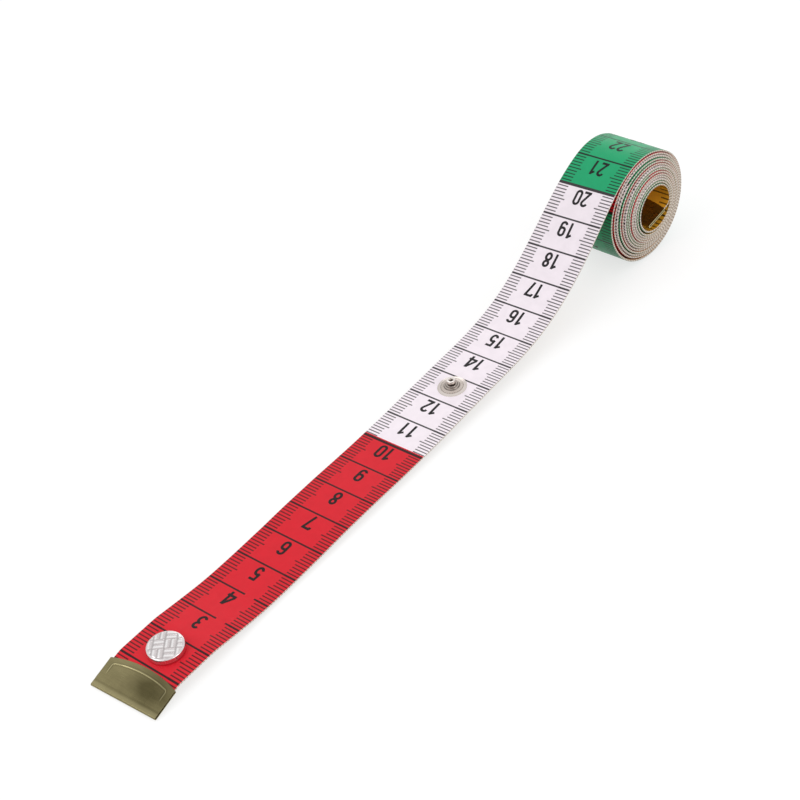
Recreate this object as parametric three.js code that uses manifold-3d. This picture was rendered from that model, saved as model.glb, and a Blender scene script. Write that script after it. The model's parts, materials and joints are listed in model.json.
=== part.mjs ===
// Cloth tape measure: a coated cloth strip with brass end clips and a press-stud closure.
// Its free end lies out along -Y on the table and the rest is wound into a roll.
// Millimetres, +Z up, X across the tape. The printed side faces up on the free run and
// outwards on the roll. Readings are lengths along the tape from the tip of the outer clip.

import * as THREE from 'three';
import { mergeVertices } from 'three/addons/utils/BufferGeometryUtils.js';
import loadManifold from 'manifold-3d';

const wasm = await loadManifold();
wasm.setup();

const DEGREE = Math.PI / 180;

// Tape
const TAPE_WIDTH = 19.7;
const TAPE_THICKNESS = 0.38;
const FIRST_FOLD_READING = 50;
const SECOND_FOLD_READING = 100;
const THIRD_FOLD_READING = 150;
const FOLD_GAP = 0.3;
const LEAD_STEP = 2.5;
const PATH_STEP = 0.1;

// End clips, folded from brass sheet over each end of the tape
const CLIP_WIDTH = 20.8;
const CLIP_LENGTH = 9.1;
const CLIP_SIDE_LENGTH = 7.4;
const CLIP_SHEET = 0.35;
const CLIP_CLEARANCE = 0.1;
const CLIP_ARC_STEPS = 16;
const FOLD_ARC_STEPS = 8;

// Press stud: cap and socket near the tip, stud and eyelet one turn further on
const SEAT_GAP = 0.1;
const SHEET = 0.32;
const CAP_RADIUS = 4.8;
const CAP_HEIGHT = 1.2;
const CAP_EDGE = 0.32;
const CAP_TO_CLIP = 1.9;
const CAP_LIP = 0.9;
const POST_RADIUS = 1.45;
const POST_BORE = 0.95;
const POST_FLARE = 0.6;
const HOLE_CLEARANCE = 0.2;
const SOCKET_RADIUS = 4.6;
const SOCKET_HEIGHT = 2.6;
const SPRING_WIRE_RADIUS = 0.22;
const STUD_READING = 126.2;
const STUD_FLANGE_RADIUS = 4.07;
const STUD_FOOT_RADIUS = 3.2;
const STUD_FOOT_HEIGHT = 0.25;
const STUD_COLLAR_RADIUS = 2.06;
const STUD_COLLAR_HEIGHT = 0.3;
const STUD_SHOULDER_RADIUS = 1.5;
const STUD_SHOULDER_HEIGHT = 0.3;
const STUD_NECK_RADIUS = 0.95;
const STUD_NECK_HEIGHT = 0.55;
const STUD_HEAD_RADIUS = 1.25;
const STUD_HEAD_HEIGHT = 0.6;
const MOUTH_CLEARANCE = 0.3;
const EYELET_FLANGE_RADIUS = 3.9;
const EYELET_CROWN_RADIUS = 2.4;
const EYELET_CROWN = 0.3;
const EYELET_RADIUS = 0.55;
const EYELET_BORE = 0.3;
const EYELET_FLARE = 0.4;
const ROUND_STEPS = 28;

// Roll: the winding runs in from where the tape leaves it to the inner clip in the bore
const LAYER_GAP = 0.41;
const WHOLE_TURNS = 12;
const OUTER_TURNS = 1.1;
const TURN_STEPS = 32;
const LEAVE_SLOPE = 15;
const LEAVE_READING = 212;
const ROLL_YAW = 4.5;
const YAW_LENGTH = 52;
const TELESCOPE = 2.7;
const CHORD_OFFSET = 3.5;
const CHORD_NORMAL = -77;
const INNER_BEND_RADIUS = 2.5;
const INNER_BEND_STEPS = 7;
const CLIP_TO_RING = 1.455;

// How the free run lies from the cap to the stud: share of the way and slope in degrees
const DIP_SLOPES = [[0.024, -6.5], [0.133, -5], [0.212, 0], [0.311, 2], [0.41, 2.2], [0.509, 0],
  [0.647, -0.6], [0.746, 0.8], [0.845, 2.8], [0.934, 5]];
const STUD_SLOPE = 3.6;
const STUD_FLAT_MARGIN = 0.5;
const STUD_TO_RISE = 5;
const STEEPEST_SLOPE = 80;
// How it climbs from there to the roll: share of the way and share of the steepest slope
const RISE_SLOPES = [[0, 0.06], [0.08, 0.123], [0.186, 0.26], [0.317, 0.52], [0.449, 0.762], [0.58, 0.93],
  [0.711, 1], [0.816, 0.945], [0.895, 0.82], [0.961, 0.66]];

// Sizes that follow from those above
const HALF_THICKNESS = TAPE_THICKNESS / 2;
const CLIP_HALF = HALF_THICKNESS + CLIP_CLEARANCE + CLIP_SHEET;
const CAP_READING = CLIP_LENGTH + CAP_TO_CLIP + CAP_RADIUS;
const SEAT = HALF_THICKNESS + SEAT_GAP;
const CLAMP_HEIGHT = SEAT + SOCKET_HEIGHT;
const CLAMP_START = CAP_READING - CAP_RADIUS;
const CLAMP_END = CAP_READING + CAP_RADIUS;
const STUD_START = STUD_READING - STUD_FLANGE_RADIUS - STUD_FLAT_MARGIN;
const STUD_END = STUD_READING + STUD_FLANGE_RADIUS + STUD_FLAT_MARGIN;
const RISE_START = STUD_END + STUD_TO_RISE;
const FOLD_READINGS = [FIRST_FOLD_READING, SECOND_FOLD_READING, THIRD_FOLD_READING];
const STUD_STEPS = [
  { radius: STUD_FOOT_RADIUS, height: STUD_FOOT_HEIGHT },
  { radius: STUD_COLLAR_RADIUS, height: STUD_COLLAR_HEIGHT },
  { radius: STUD_SHOULDER_RADIUS, height: STUD_SHOULDER_HEIGHT },
];
const PITCH = TAPE_THICKNESS + LAYER_GAP;
const BORE_RADIUS = Math.hypot(CLIP_LENGTH / 2, CHORD_OFFSET + CLIP_HALF) + CLIP_TO_RING;
const END_RADIUS = BORE_RADIUS + HALF_THICKNESS;
const BEND_CENTRE = END_RADIUS - INNER_BEND_RADIUS;
const BEND_TURN = Math.acos((CHORD_OFFSET - INNER_BEND_RADIUS) / BEND_CENTRE);
const LEAVE_ANGLE = (90 + LEAVE_SLOPE) * DEGREE;
const END_ANGLE = CHORD_NORMAL * DEGREE + BEND_TURN;
const TURN_ANGLE = WHOLE_TURNS * 2 * Math.PI + LEAVE_ANGLE - END_ANGLE;
const SPLIT_ANGLE = LEAVE_ANGLE - OUTER_TURNS * 2 * Math.PI;
const SOCKET_MOUTH = STUD_HEAD_RADIUS + MOUTH_CLEARANCE;
const SPRING_TRAVEL = STUD_HEAD_RADIUS - STUD_NECK_RADIUS;
const SPRING_OFFSET = STUD_NECK_RADIUS + SPRING_WIRE_RADIUS + SEAT_GAP;

/** Radius of the tape's mid-plane at a turning angle that falls from LEAVE_ANGLE inwards. */
function windingRadius(angle) {
  const left = TURN_ANGLE - (LEAVE_ANGLE - angle);
  return END_RADIUS + (PITCH * left) / (2 * Math.PI);
}

const ROLL_HEIGHT = windingRadius(-Math.PI / 2) + HALF_THICKNESS;
const LEAVE_RADIUS = windingRadius(LEAVE_ANGLE);

/** Value at a position in a list of [position, value] pairs, straight between them. */
function between(pairs, position) {
  let k = 1;
  while (k < pairs.length - 1 && pairs[k][0] < position) k += 1;
  const [[a, low], [b, high]] = [pairs[k - 1], pairs[k]];
  const t = Math.min(Math.max((position - a) / (b - a), 0), 1);
  return low + (high - low) * t;
}

/** Input at which a rising function reaches a target. */
function solve(rising, target, low, high) {
  let [a, b] = [low, high];
  for (let k = 0; k < 50; k += 1) {
    const middle = (a + b) / 2;
    if (rising(middle) < target) a = middle;
    else b = middle;
  }
  return (a + b) / 2;
}

/** How far the tape has swung sideways at a reading, as it eases into the roll. */
function yawAt(reading) {
  const share = 1 - (LEAVE_READING - reading) / YAW_LENGTH;
  return ROLL_YAW * DEGREE * THREE.MathUtils.smoothstep(share, 0, 1);
}

/** Points of the free run, from the clip's fold to where it meets the roll. */
function freeRun(slopes) {
  const turn = between(slopes, 0) * DEGREE;
  const points = [{ reading: CLIP_HALF, x: 0, y: CLIP_HALF * Math.cos(turn), z: CLIP_HALF, turn, yaw: 0 }];
  const count = Math.ceil((LEAVE_READING - CLIP_HALF) / PATH_STEP);
  const step = (LEAVE_READING - CLIP_HALF) / count;
  for (let k = 1; k <= count; k += 1) {
    const last = points[k - 1];
    const reading = CLIP_HALF + k * step;
    const climb = between(slopes, reading - step / 2) * DEGREE;
    const swing = yawAt(reading - step / 2);
    points.push({
      reading,
      x: last.x + step * Math.cos(climb) * Math.sin(swing),
      y: last.y + step * Math.cos(climb) * Math.cos(swing),
      z: last.z + step * Math.sin(climb),
      turn: between(slopes, reading) * DEGREE,
      yaw: yawAt(reading),
    });
  }
  return points;
}

/** Slopes of the whole free run for a slope at the clip and a steepest slope on the rise. */
function runSlopes(clipSlope, steepest) {
  const dip = STUD_START - CLAMP_END;
  const rise = LEAVE_READING - RISE_START;
  return [
    [0, clipSlope], [CLIP_LENGTH, clipSlope], [CLAMP_START, 0], [CLAMP_END, 0],
    ...DIP_SLOPES.map(([way, slope]) => [CLAMP_END + way * dip, slope]),
    [STUD_START, STUD_SLOPE], [STUD_END, STUD_SLOPE],
    ...RISE_SLOPES.map(([way, share]) => [RISE_START + way * rise, share * steepest]),
    [LEAVE_READING, LEAVE_SLOPE],
  ];
}

/** Point of a run at a reading. */
function pointAt(run, reading) {
  const first = run[0].reading;
  const step = run[1].reading - first;
  const place = Math.min(Math.max((reading - first) / step, 0), run.length - 1);
  const k = Math.min(Math.floor(place), run.length - 2);
  const t = place - k;
  const mix = (key) => run[k][key] + (run[k + 1][key] - run[k][key]) * t;
  return { x: mix('x'), y: mix('y'), z: mix('z'), turn: mix('turn'), yaw: mix('yaw'), half: HALF_THICKNESS };
}

// The clip's slope lifts the tape from the table to the socket, and the rise lifts it to the roll.
const leaveHeight = ROLL_HEIGHT + LEAVE_RADIUS * Math.cos(LEAVE_SLOPE * DEGREE);
const clampHeightFor = (slope) => pointAt(freeRun(runSlopes(slope, 0)), CAP_READING).z;
const CLIP_SLOPE = solve(clampHeightFor, CLAMP_HEIGHT, 0, STEEPEST_SLOPE);
const leaveHeightFor = (steepest) => pointAt(freeRun(runSlopes(CLIP_SLOPE, steepest)), LEAVE_READING).z;
const RISE_SLOPE = solve(leaveHeightFor, leaveHeight, 0, STEEPEST_SLOPE);
const RUN_SLOPES = runSlopes(CLIP_SLOPE, RISE_SLOPE);
const RUN = freeRun(RUN_SLOPES);
const leavePoint = pointAt(RUN, LEAVE_READING);
const YAW = ROLL_YAW * DEGREE;
const leaveReach = LEAVE_RADIUS * Math.sin(LEAVE_SLOPE * DEGREE);
const ROLL_X = leavePoint.x + leaveReach * Math.sin(YAW);
const ROLL_Y = leavePoint.y + leaveReach * Math.cos(YAW);

/** Station in the roll's own plane: lengths along and above its axis, drawn out sideways along it. */
function rollStation(along, above, sideways, turn) {
  return {
    x: ROLL_X + along * Math.sin(YAW) + sideways * Math.cos(YAW),
    y: ROLL_Y + along * Math.cos(YAW) - sideways * Math.sin(YAW),
    z: ROLL_HEIGHT + above,
    turn,
    yaw: YAW,
    half: HALF_THICKNESS,
    along,
  };
}

/** Station of the winding at a turning angle. */
function windingStation(angle) {
  const radius = windingRadius(angle);
  const sideways = (TELESCOPE * (LEAVE_ANGLE - angle)) / TURN_ANGLE;
  return rollStation(radius * Math.cos(angle), radius * Math.sin(angle), sideways, angle - Math.PI / 2);
}

/** Stations of the winding between two turning angles, at even steps. */
function windingStations(from, to) {
  const count = Math.max(1, Math.round(((from - to) / (2 * Math.PI)) * TURN_STEPS));
  return Array.from({ length: count + 1 }, (_, k) => windingStation(from + ((to - from) * k) / count));
}

/** Stations of the free run between two readings, one of them wherever its slope changes. */
function leadStations(from, to) {
  const bends = RUN_SLOPES.map(([reading]) => reading).filter((reading) => reading > from && reading < to);
  const readings = [from];
  for (const next of [...bends, to]) {
    const start = readings[readings.length - 1];
    const count = Math.max(1, Math.round((next - start) / LEAD_STEP));
    for (let k = 1; k <= count; k += 1) readings.push(start + ((next - start) * k) / count);
  }
  return readings.map((reading) => pointAt(RUN, reading));
}

/** Stations that round the end of a stretch about a fold line, so that it can turn there. */
function roundedEnd(reading) {
  return [35, 65].map((angle) => ({
    ...pointAt(RUN, reading + HALF_THICKNESS * Math.sin(angle * DEGREE)),
    half: HALF_THICKNESS * Math.cos(angle * DEGREE),
  }));
}

/** Closed strip of the tape's width through stations, with its printed side to the left of the way. */
function strip(stations) {
  const points = [];
  const faces = [];
  const right = new THREE.Vector3();
  const up = new THREE.Vector3();
  const corners = [[-1, -1], [1, -1], [1, 1], [-1, 1]];
  const count = corners.length;
  for (const { x, y, z, turn, yaw, half } of stations) {
    right.set(Math.cos(yaw), -Math.sin(yaw), 0).multiplyScalar(TAPE_WIDTH / 2);
    up.set(-Math.sin(turn) * Math.sin(yaw), -Math.sin(turn) * Math.cos(yaw), Math.cos(turn));
    up.multiplyScalar(half);
    for (const [side, face] of corners) {
      points.push(x + side * right.x + face * up.x, y + side * right.y + face * up.y, z + face * up.z);
    }
  }
  const last = (stations.length - 1) * count;
  for (let base = 0; base < last; base += count) {
    for (let corner = 0; corner < count; corner += 1) {
      const a = base + corner;
      const b = base + ((corner + 1) % count);
      faces.push(a, b + count, b, a, a + count, b + count);
    }
  }
  faces.push(0, 1, 2, 0, 2, 3, last, last + 2, last + 1, last, last + 3, last + 2);
  const geometry = new THREE.BufferGeometry();
  geometry.setAttribute('position', new THREE.Float32BufferAttribute(points, 3));
  geometry.setIndex(faces);
  return geometry;
}

/** Manifold solid of a closed geometry. */
function solid(geometry) {
  const bare = geometry.clone();
  bare.deleteAttribute('normal');
  bare.deleteAttribute('uv');
  const merged = mergeVertices(bare, 1e-4);
  return new wasm.Manifold(new wasm.Mesh({
    numProp: 3,
    vertProperties: new Float32Array(merged.attributes.position.array),
    triVerts: new Uint32Array(merged.index.array),
  }));
}

/** Geometry of a manifold solid. */
function geometryOf(manifold) {
  const { numProp, vertProperties, triVerts } = manifold.getMesh();
  const points = [];
  for (let k = 0; k < vertProperties.length; k += numProp) points.push(...vertProperties.slice(k, k + 3));
  const geometry = new THREE.BufferGeometry();
  geometry.setAttribute('position', new THREE.Float32BufferAttribute(points, 3));
  geometry.setIndex(Array.from(triVerts));
  return geometry;
}

/** Strip with a round hole through it at a reading. */
function punchedStrip(stations, reading, radius) {
  const depth = TAPE_THICKNESS * 6;
  const { y, z, turn } = pointAt(RUN, reading);
  const punch = new THREE.CylinderGeometry(radius, radius, depth, ROUND_STEPS);
  punch.rotateX(Math.PI / 2 + turn).translate(0, y, z);
  return geometryOf(solid(strip(stations)).subtract(solid(punch)));
}

/** Round solid about Z from a closed outline of [radius, height] points. */
function turned(outline) {
  let area = 0;
  outline.forEach(([r, h], k) => {
    const [nextR, nextH] = outline[(k + 1) % outline.length];
    area += r * nextH - nextR * h;
  });
  const ring = area > 0 ? outline : [...outline].reverse();
  const axial = ring.some(([r]) => r === 0);
  const start = ring.findIndex(([r], k) => r === 0 && ring[(k + 1) % ring.length][0] > 0);
  const ordered = axial ? [...ring.slice(start), ...ring.slice(0, start)] : [...ring, ring[0]];
  const profile = ordered.map(([r, h]) => new THREE.Vector2(r, h));
  return new THREE.LatheGeometry(profile, ROUND_STEPS).rotateX(Math.PI / 2);
}

/** End clip, with its folded tip at the origin and its plates along +Y over and under the tape. */
function clipGeometry() {
  const inner = CLIP_HALF - CLIP_SHEET;
  const side = new THREE.Shape();
  side.moveTo(CLIP_LENGTH + CLIP_SHEET, CLIP_HALF);
  side.lineTo(CLIP_HALF, CLIP_HALF);
  side.absarc(CLIP_HALF, 0, CLIP_HALF, Math.PI / 2, (3 * Math.PI) / 2, false);
  side.lineTo(CLIP_LENGTH + CLIP_SHEET, -CLIP_HALF);
  side.lineTo(CLIP_LENGTH + CLIP_SHEET, -inner);
  side.lineTo(CLIP_HALF, -inner);
  side.absarc(CLIP_HALF, 0, inner, (3 * Math.PI) / 2, Math.PI / 2, true);
  side.lineTo(CLIP_LENGTH + CLIP_SHEET, inner);
  const fold = new THREE.ExtrudeGeometry(side, {
    depth: CLIP_WIDTH, bevelEnabled: false, curveSegments: FOLD_ARC_STEPS,
  });
  fold.rotateX(Math.PI / 2).rotateZ(Math.PI / 2).translate(-CLIP_WIDTH / 2, 0, 0);

  const rise = CLIP_LENGTH - CLIP_SIDE_LENGTH;
  const arcRadius = ((CLIP_WIDTH / 2) ** 2 + rise ** 2) / (2 * rise);
  const reach = Math.asin(CLIP_WIDTH / 2 / arcRadius);
  const plan = new THREE.Shape();
  plan.moveTo(-CLIP_WIDTH, -CLIP_HALF);
  plan.lineTo(CLIP_WIDTH, -CLIP_HALF);
  plan.lineTo(CLIP_WIDTH, CLIP_SIDE_LENGTH);
  plan.lineTo(CLIP_WIDTH / 2, CLIP_SIDE_LENGTH);
  plan.absarc(0, CLIP_LENGTH - arcRadius, arcRadius, Math.PI / 2 - reach, Math.PI / 2 + reach, false);
  plan.lineTo(-CLIP_WIDTH, CLIP_SIDE_LENGTH);
  const depth = CLIP_HALF * 4;
  const outline = new THREE.ExtrudeGeometry(plan, {
    depth, bevelEnabled: false, curveSegments: CLIP_ARC_STEPS,
  });
  outline.translate(0, 0, -depth / 2);
  return geometryOf(solid(fold).intersect(solid(outline)));
}

/** Cap shell: a flat top with a skirt whose lip is curled in under the post's flange. */
function capGeometry() {
  const top = SEAT + CAP_HEIGHT;
  const inside = CAP_RADIUS - SHEET;
  return turned([
    [0, top], [CAP_RADIUS - CAP_EDGE, top], [CAP_RADIUS, top - CAP_EDGE], [CAP_RADIUS, SEAT + CAP_EDGE],
    [CAP_RADIUS - CAP_EDGE, SEAT], [CAP_RADIUS - CAP_LIP, SEAT], [CAP_RADIUS - CAP_LIP, SEAT + SHEET],
    [inside, SEAT + SHEET], [inside, top - SHEET], [0, top - SHEET],
  ]);
}

/** Hollow post that joins cap and socket through the tape and is flared inside the socket. */
function postGeometry() {
  const top = SEAT + CAP_HEIGHT - SHEET - SEAT_GAP;
  const flange = SEAT + SHEET + SEAT_GAP;
  const flareTop = -SEAT - SHEET - SEAT_GAP;
  const end = flareTop - SHEET;
  const rim = CAP_RADIUS - SHEET - SEAT_GAP;
  return turned([
    [0, top], [rim, top], [rim, flange], [POST_RADIUS, flange], [POST_RADIUS, flareTop],
    [POST_RADIUS + POST_FLARE, flareTop], [POST_RADIUS + POST_FLARE, end], [POST_BORE, end],
    [POST_BORE, 0], [0, 0],
  ]);
}

/** Socket cup under the tape, open downwards, with a lip round its mouth that carries the springs. */
function socketGeometry() {
  const top = -SEAT;
  const base = -CLAMP_HEIGHT;
  const inside = SOCKET_RADIUS - SHEET;
  const hole = POST_RADIUS + HOLE_CLEARANCE;
  return turned([
    [hole, top], [SOCKET_RADIUS, top], [SOCKET_RADIUS, base], [SOCKET_MOUTH, base],
    [SOCKET_MOUTH, base + SHEET], [inside, base + SHEET], [inside, top - SHEET], [hole, top - SHEET],
  ]);
}

/** Straight spring wire along Y, as long as the socket leaves room for when it is spread. */
function springGeometry() {
  const spread = SPRING_OFFSET + SPRING_WIRE_RADIUS + SPRING_TRAVEL;
  const inside = SOCKET_RADIUS - SHEET - SEAT_GAP;
  const length = 2 * Math.sqrt(inside ** 2 - spread ** 2);
  return new THREE.CylinderGeometry(SPRING_WIRE_RADIUS, SPRING_WIRE_RADIUS, length, 10);
}

/** Height of the stud's neck over the tape's mid-plane. */
function studNeckBase() {
  return STUD_STEPS.reduce((sum, { height }) => sum + height, SEAT + SHEET);
}

/** Stud over the tape: flange, rising steps, neck and head, bored for the eyelet. */
function studGeometry() {
  const bore = EYELET_RADIUS + SEAT_GAP;
  const outline = [[bore, SEAT], [STUD_FLANGE_RADIUS, SEAT]];
  let height = SEAT + SHEET;
  outline.push([STUD_FLANGE_RADIUS, height]);
  for (const step of STUD_STEPS) {
    outline.push([step.radius, height]);
    height += step.height;
    outline.push([step.radius, height]);
  }
  const neck = height + STUD_NECK_HEIGHT;
  const head = neck + STUD_HEAD_HEIGHT;
  const slope = (STUD_HEAD_RADIUS - STUD_NECK_RADIUS) / 2;
  outline.push(
    [STUD_NECK_RADIUS, height], [STUD_NECK_RADIUS, neck - slope], [STUD_HEAD_RADIUS, neck],
    [STUD_HEAD_RADIUS, head - slope], [STUD_HEAD_RADIUS - slope, head], [bore, head],
  );
  return turned(outline);
}

/** Eyelet under the tape, whose barrel holds the stud and is flared over its head. */
function eyeletGeometry() {
  const flangeTop = -SEAT;
  const flangeEdge = flangeTop - SHEET;
  const crown = flangeEdge - EYELET_CROWN;
  const flare = studNeckBase() + STUD_NECK_HEIGHT + STUD_HEAD_HEIGHT + SEAT_GAP;
  const end = flare + SHEET / 2;
  const rim = EYELET_RADIUS + EYELET_FLARE;
  return turned([
    [0, crown], [EYELET_CROWN_RADIUS, crown], [EYELET_FLANGE_RADIUS, flangeEdge],
    [EYELET_FLANGE_RADIUS, flangeTop], [EYELET_RADIUS, flangeTop], [EYELET_RADIUS, flare],
    [rim, flare], [rim, end], [EYELET_BORE, end], [EYELET_BORE, flangeTop], [0, flangeTop],
  ]);
}

const FINISHES = {
  redField: { color: 0xd9303c, roughness: 0.5, metalness: 0 },
  whiteField: { color: 0xf0e8ee, roughness: 0.5, metalness: 0 },
  greenField: { color: 0x1f9f6c, roughness: 0.5, metalness: 0 },
  coreField: { color: 0xc9a23a, roughness: 0.5, metalness: 0 },
  brass: { color: 0x857b52, roughness: 0.38, metalness: 1 },
  nickel: { color: 0xd2cfcc, roughness: 0.25, metalness: 1 },
  springSteel: { color: 0x9a9ca0, roughness: 0.3, metalness: 1 },
};

/** Named mesh of one piece with a material of its own. */
function piece(name, geometry, finish) {
  const mesh = new THREE.Mesh(geometry, new THREE.MeshStandardMaterial(FINISHES[finish]));
  mesh.name = name;
  return mesh;
}

/** Group that carries pieces at a station, turned with the tape there. */
function seatedGroup({ x, y, z, turn, yaw }, ...pieces) {
  const group = new THREE.Group();
  group.position.set(x, y, z);
  group.rotation.set(turn, 0, -yaw, 'ZYX');
  group.add(...pieces);
  return group;
}

/** Stretches of tape between the fold lines, from the tip to the roll. */
function leadPieces() {
  const [first, second, third] = FOLD_READINGS;
  const startAfter = (reading) => reading + HALF_THICKNESS + FOLD_GAP;
  const freeEnd = [...leadStations(CLIP_HALF, first), ...roundedEnd(first)];
  const redRun = [...leadStations(startAfter(first), second), ...roundedEnd(second)];
  const whiteRun = [...leadStations(startAfter(second), third), ...roundedEnd(third)];
  const rise = leadStations(startAfter(third), LEAVE_READING);
  const outerTurn = windingStations(LEAVE_ANGLE, SPLIT_ANGLE).slice(1);
  const capHole = POST_RADIUS + HOLE_CLEARANCE;
  const studHole = EYELET_RADIUS + HOLE_CLEARANCE;
  return [
    piece('tape_free_end', punchedStrip(freeEnd, CAP_READING, capHole), 'redField'),
    piece('tape_red_run', strip(redRun), 'redField'),
    piece('tape_white_run', punchedStrip(whiteRun, STUD_READING, studHole), 'whiteField'),
    piece('tape_rise_and_outer_turn', strip([...rise, ...outerTurn]), 'greenField'),
  ];
}

/** Stations of the core: the inner turns, the tight bend in the bore and the straight end in its clip. */
function coreStations() {
  const start = SPLIT_ANGLE - FOLD_GAP / windingRadius(SPLIT_ANGLE);
  const turns = windingStations(start, END_ANGLE - WHOLE_TURNS * 2 * Math.PI);
  const bend = Array.from({ length: INNER_BEND_STEPS }, (_, k) => {
    const angle = END_ANGLE - (BEND_TURN * (k + 1)) / INNER_BEND_STEPS;
    const along = BEND_CENTRE * Math.cos(END_ANGLE) + INNER_BEND_RADIUS * Math.cos(angle);
    const above = BEND_CENTRE * Math.sin(END_ANGLE) + INNER_BEND_RADIUS * Math.sin(angle);
    return rollStation(along, above, TELESCOPE, angle - Math.PI / 2);
  });
  return [...turns, ...bend, chordStation(CLIP_LENGTH / 2 - CLIP_HALF)];
}

/** Station on the straight end in the bore, by its distance past the middle. */
function chordStation(distance) {
  const normal = CHORD_NORMAL * DEGREE;
  const turn = normal - Math.PI / 2;
  const along = CHORD_OFFSET * Math.cos(normal) + distance * Math.cos(turn);
  const above = CHORD_OFFSET * Math.sin(normal) + distance * Math.sin(turn);
  return rollStation(along, above, TELESCOPE, turn);
}

/** Inner turns with their clip. */
function corePieces() {
  const clip = piece('inner_end_clip', clipGeometry(), 'brass');
  clip.rotation.z = Math.PI;
  return [
    piece('tape_core_winding', strip(coreStations()), 'coreField'),
    seatedGroup(chordStation(CLIP_LENGTH / 2), clip),
  ];
}

/** Clip on the tip of the tape. */
function outerClip() {
  const fold = pointAt(RUN, CLIP_HALF);
  const tip = {
    ...fold,
    y: fold.y - CLIP_HALF * Math.cos(fold.turn),
    z: fold.z - CLIP_HALF * Math.sin(fold.turn),
  };
  return seatedGroup(tip, piece('outer_end_clip', clipGeometry(), 'brass'));
}

/** Cap, post and socket with its two spring wires, about one axis through the tape. */
function capAndSocket() {
  const wireZ = -CLAMP_HEIGHT + SHEET + SEAT_GAP + SPRING_WIRE_RADIUS;
  const wires = [['left', -1], ['right', 1]].map(([side, sign]) => {
    const wire = piece(`socket_spring_${side}`, springGeometry(), 'springSteel');
    wire.position.set(sign * SPRING_OFFSET, 0, wireZ);
    return wire;
  });
  return seatedGroup(
    pointAt(RUN, CAP_READING),
    piece('snap_cap', capGeometry(), 'nickel'),
    piece('cap_post', postGeometry(), 'nickel'),
    piece('snap_socket', socketGeometry(), 'nickel'),
    ...wires,
  );
}

/** Stud and the eyelet that holds it. */
function studAndEyelet() {
  return seatedGroup(
    pointAt(RUN, STUD_READING),
    piece('snap_stud', studGeometry(), 'nickel'),
    piece('stud_eyelet', eyeletGeometry(), 'nickel'),
  );
}

/** Least gap between turns of the winding, measured between points on its mid-plane. */
function leastGap(stations) {
  let least = Infinity;
  const apart = TURN_STEPS / 2;
  stations.forEach((a, i) => {
    for (let j = i + apart; j < stations.length - 1; j += 1) {
      const [p, q] = [stations[j], stations[j + 1]];
      const [across, up] = [q.along - p.along, q.z - p.z];
      const share = ((a.along - p.along) * across + (a.z - p.z) * up) / (across * across + up * up);
      const t = Math.min(Math.max(share, 0), 1);
      least = Math.min(least, Math.hypot(a.along - p.along - t * across, a.z - p.z - t * up));
    }
  });
  return least - TAPE_THICKNESS;
}

/** Length along stations. */
function lengthAlong(stations) {
  return stations.slice(1).reduce((sum, b, k) => {
    const a = stations[k];
    return sum + Math.hypot(b.x - a.x, b.y - a.y, b.z - a.z);
  }, 0);
}

const tapeMeasure = new THREE.Group();
tapeMeasure.add(...leadPieces(), ...corePieces(), outerClip(), capAndSocket(), studAndEyelet());

// The origin is the middle of the object's box, on the table.
tapeMeasure.updateMatrixWorld(true);
const box = new THREE.Box3().setFromObject(tapeMeasure, true);
const middle = box.getCenter(new THREE.Vector3());
tapeMeasure.position.set(-middle.x, -middle.y, -box.min.z);

const winding = [...windingStations(LEAVE_ANGLE, SPLIT_ANGLE), ...coreStations()];
const placed = (point) => [point.x - middle.x, point.y - middle.y, point.z - box.min.z]
  .map((value) => value.toFixed(4)).join(' ');
console.log('least gap between turns', leastGap(winding).toFixed(3));
console.log('tape length', (LEAVE_READING + lengthAlong(winding) + CLIP_HALF).toFixed(1));
console.log('origin shift', middle.x.toFixed(4), middle.y.toFixed(4), box.min.z.toFixed(4));
console.log('roll axis at', placed({ x: ROLL_X, y: ROLL_Y, z: ROLL_HEIGHT }));
FOLD_READINGS.forEach((reading) => console.log('fold', reading, 'at', placed(pointAt(RUN, reading))));
console.log('cap axis at', placed(pointAt(RUN, CAP_READING)));
console.log('slopes of clip and rise', CLIP_SLOPE.toFixed(3), RISE_SLOPE.toFixed(3));

export default tapeMeasure;
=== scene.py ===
"""Cloth tape measure: the looks of its printed tape, brass end clips and press-stud closure.

Sizes are in millimetres and become metres where a mesh is made. A reading is a length along
the tape from the tip of the outer clip, as the printed scale counts it.
"""

import json
import logging
import math
from dataclasses import dataclass, field
from enum import Enum, IntEnum
from typing import Callable, Optional, Sequence, Union

import bmesh
import bpy
import numpy as np
from mathutils import Matrix, Vector


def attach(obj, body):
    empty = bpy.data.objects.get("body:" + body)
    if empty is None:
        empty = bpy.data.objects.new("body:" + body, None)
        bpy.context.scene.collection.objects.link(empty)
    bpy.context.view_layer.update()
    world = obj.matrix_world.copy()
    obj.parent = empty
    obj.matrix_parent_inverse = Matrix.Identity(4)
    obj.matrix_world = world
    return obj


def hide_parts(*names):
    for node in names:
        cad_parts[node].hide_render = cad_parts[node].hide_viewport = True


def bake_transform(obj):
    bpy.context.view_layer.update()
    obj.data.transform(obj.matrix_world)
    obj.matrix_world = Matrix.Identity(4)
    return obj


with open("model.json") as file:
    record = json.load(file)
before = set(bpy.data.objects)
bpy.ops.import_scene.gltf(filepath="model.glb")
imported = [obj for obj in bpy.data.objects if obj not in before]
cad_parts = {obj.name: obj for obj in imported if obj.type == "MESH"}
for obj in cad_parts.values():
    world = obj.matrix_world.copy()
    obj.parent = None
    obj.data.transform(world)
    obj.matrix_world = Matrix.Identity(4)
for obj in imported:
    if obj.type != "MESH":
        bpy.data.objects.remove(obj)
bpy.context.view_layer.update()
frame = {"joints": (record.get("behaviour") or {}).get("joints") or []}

MM = 0.001
INCH = 25.4
TURN = 2.0 * math.pi
HALF_WIDTH = 9.85
METAL_CREASE = 35.0
BEVEL_ANGLE = 60.0
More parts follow.
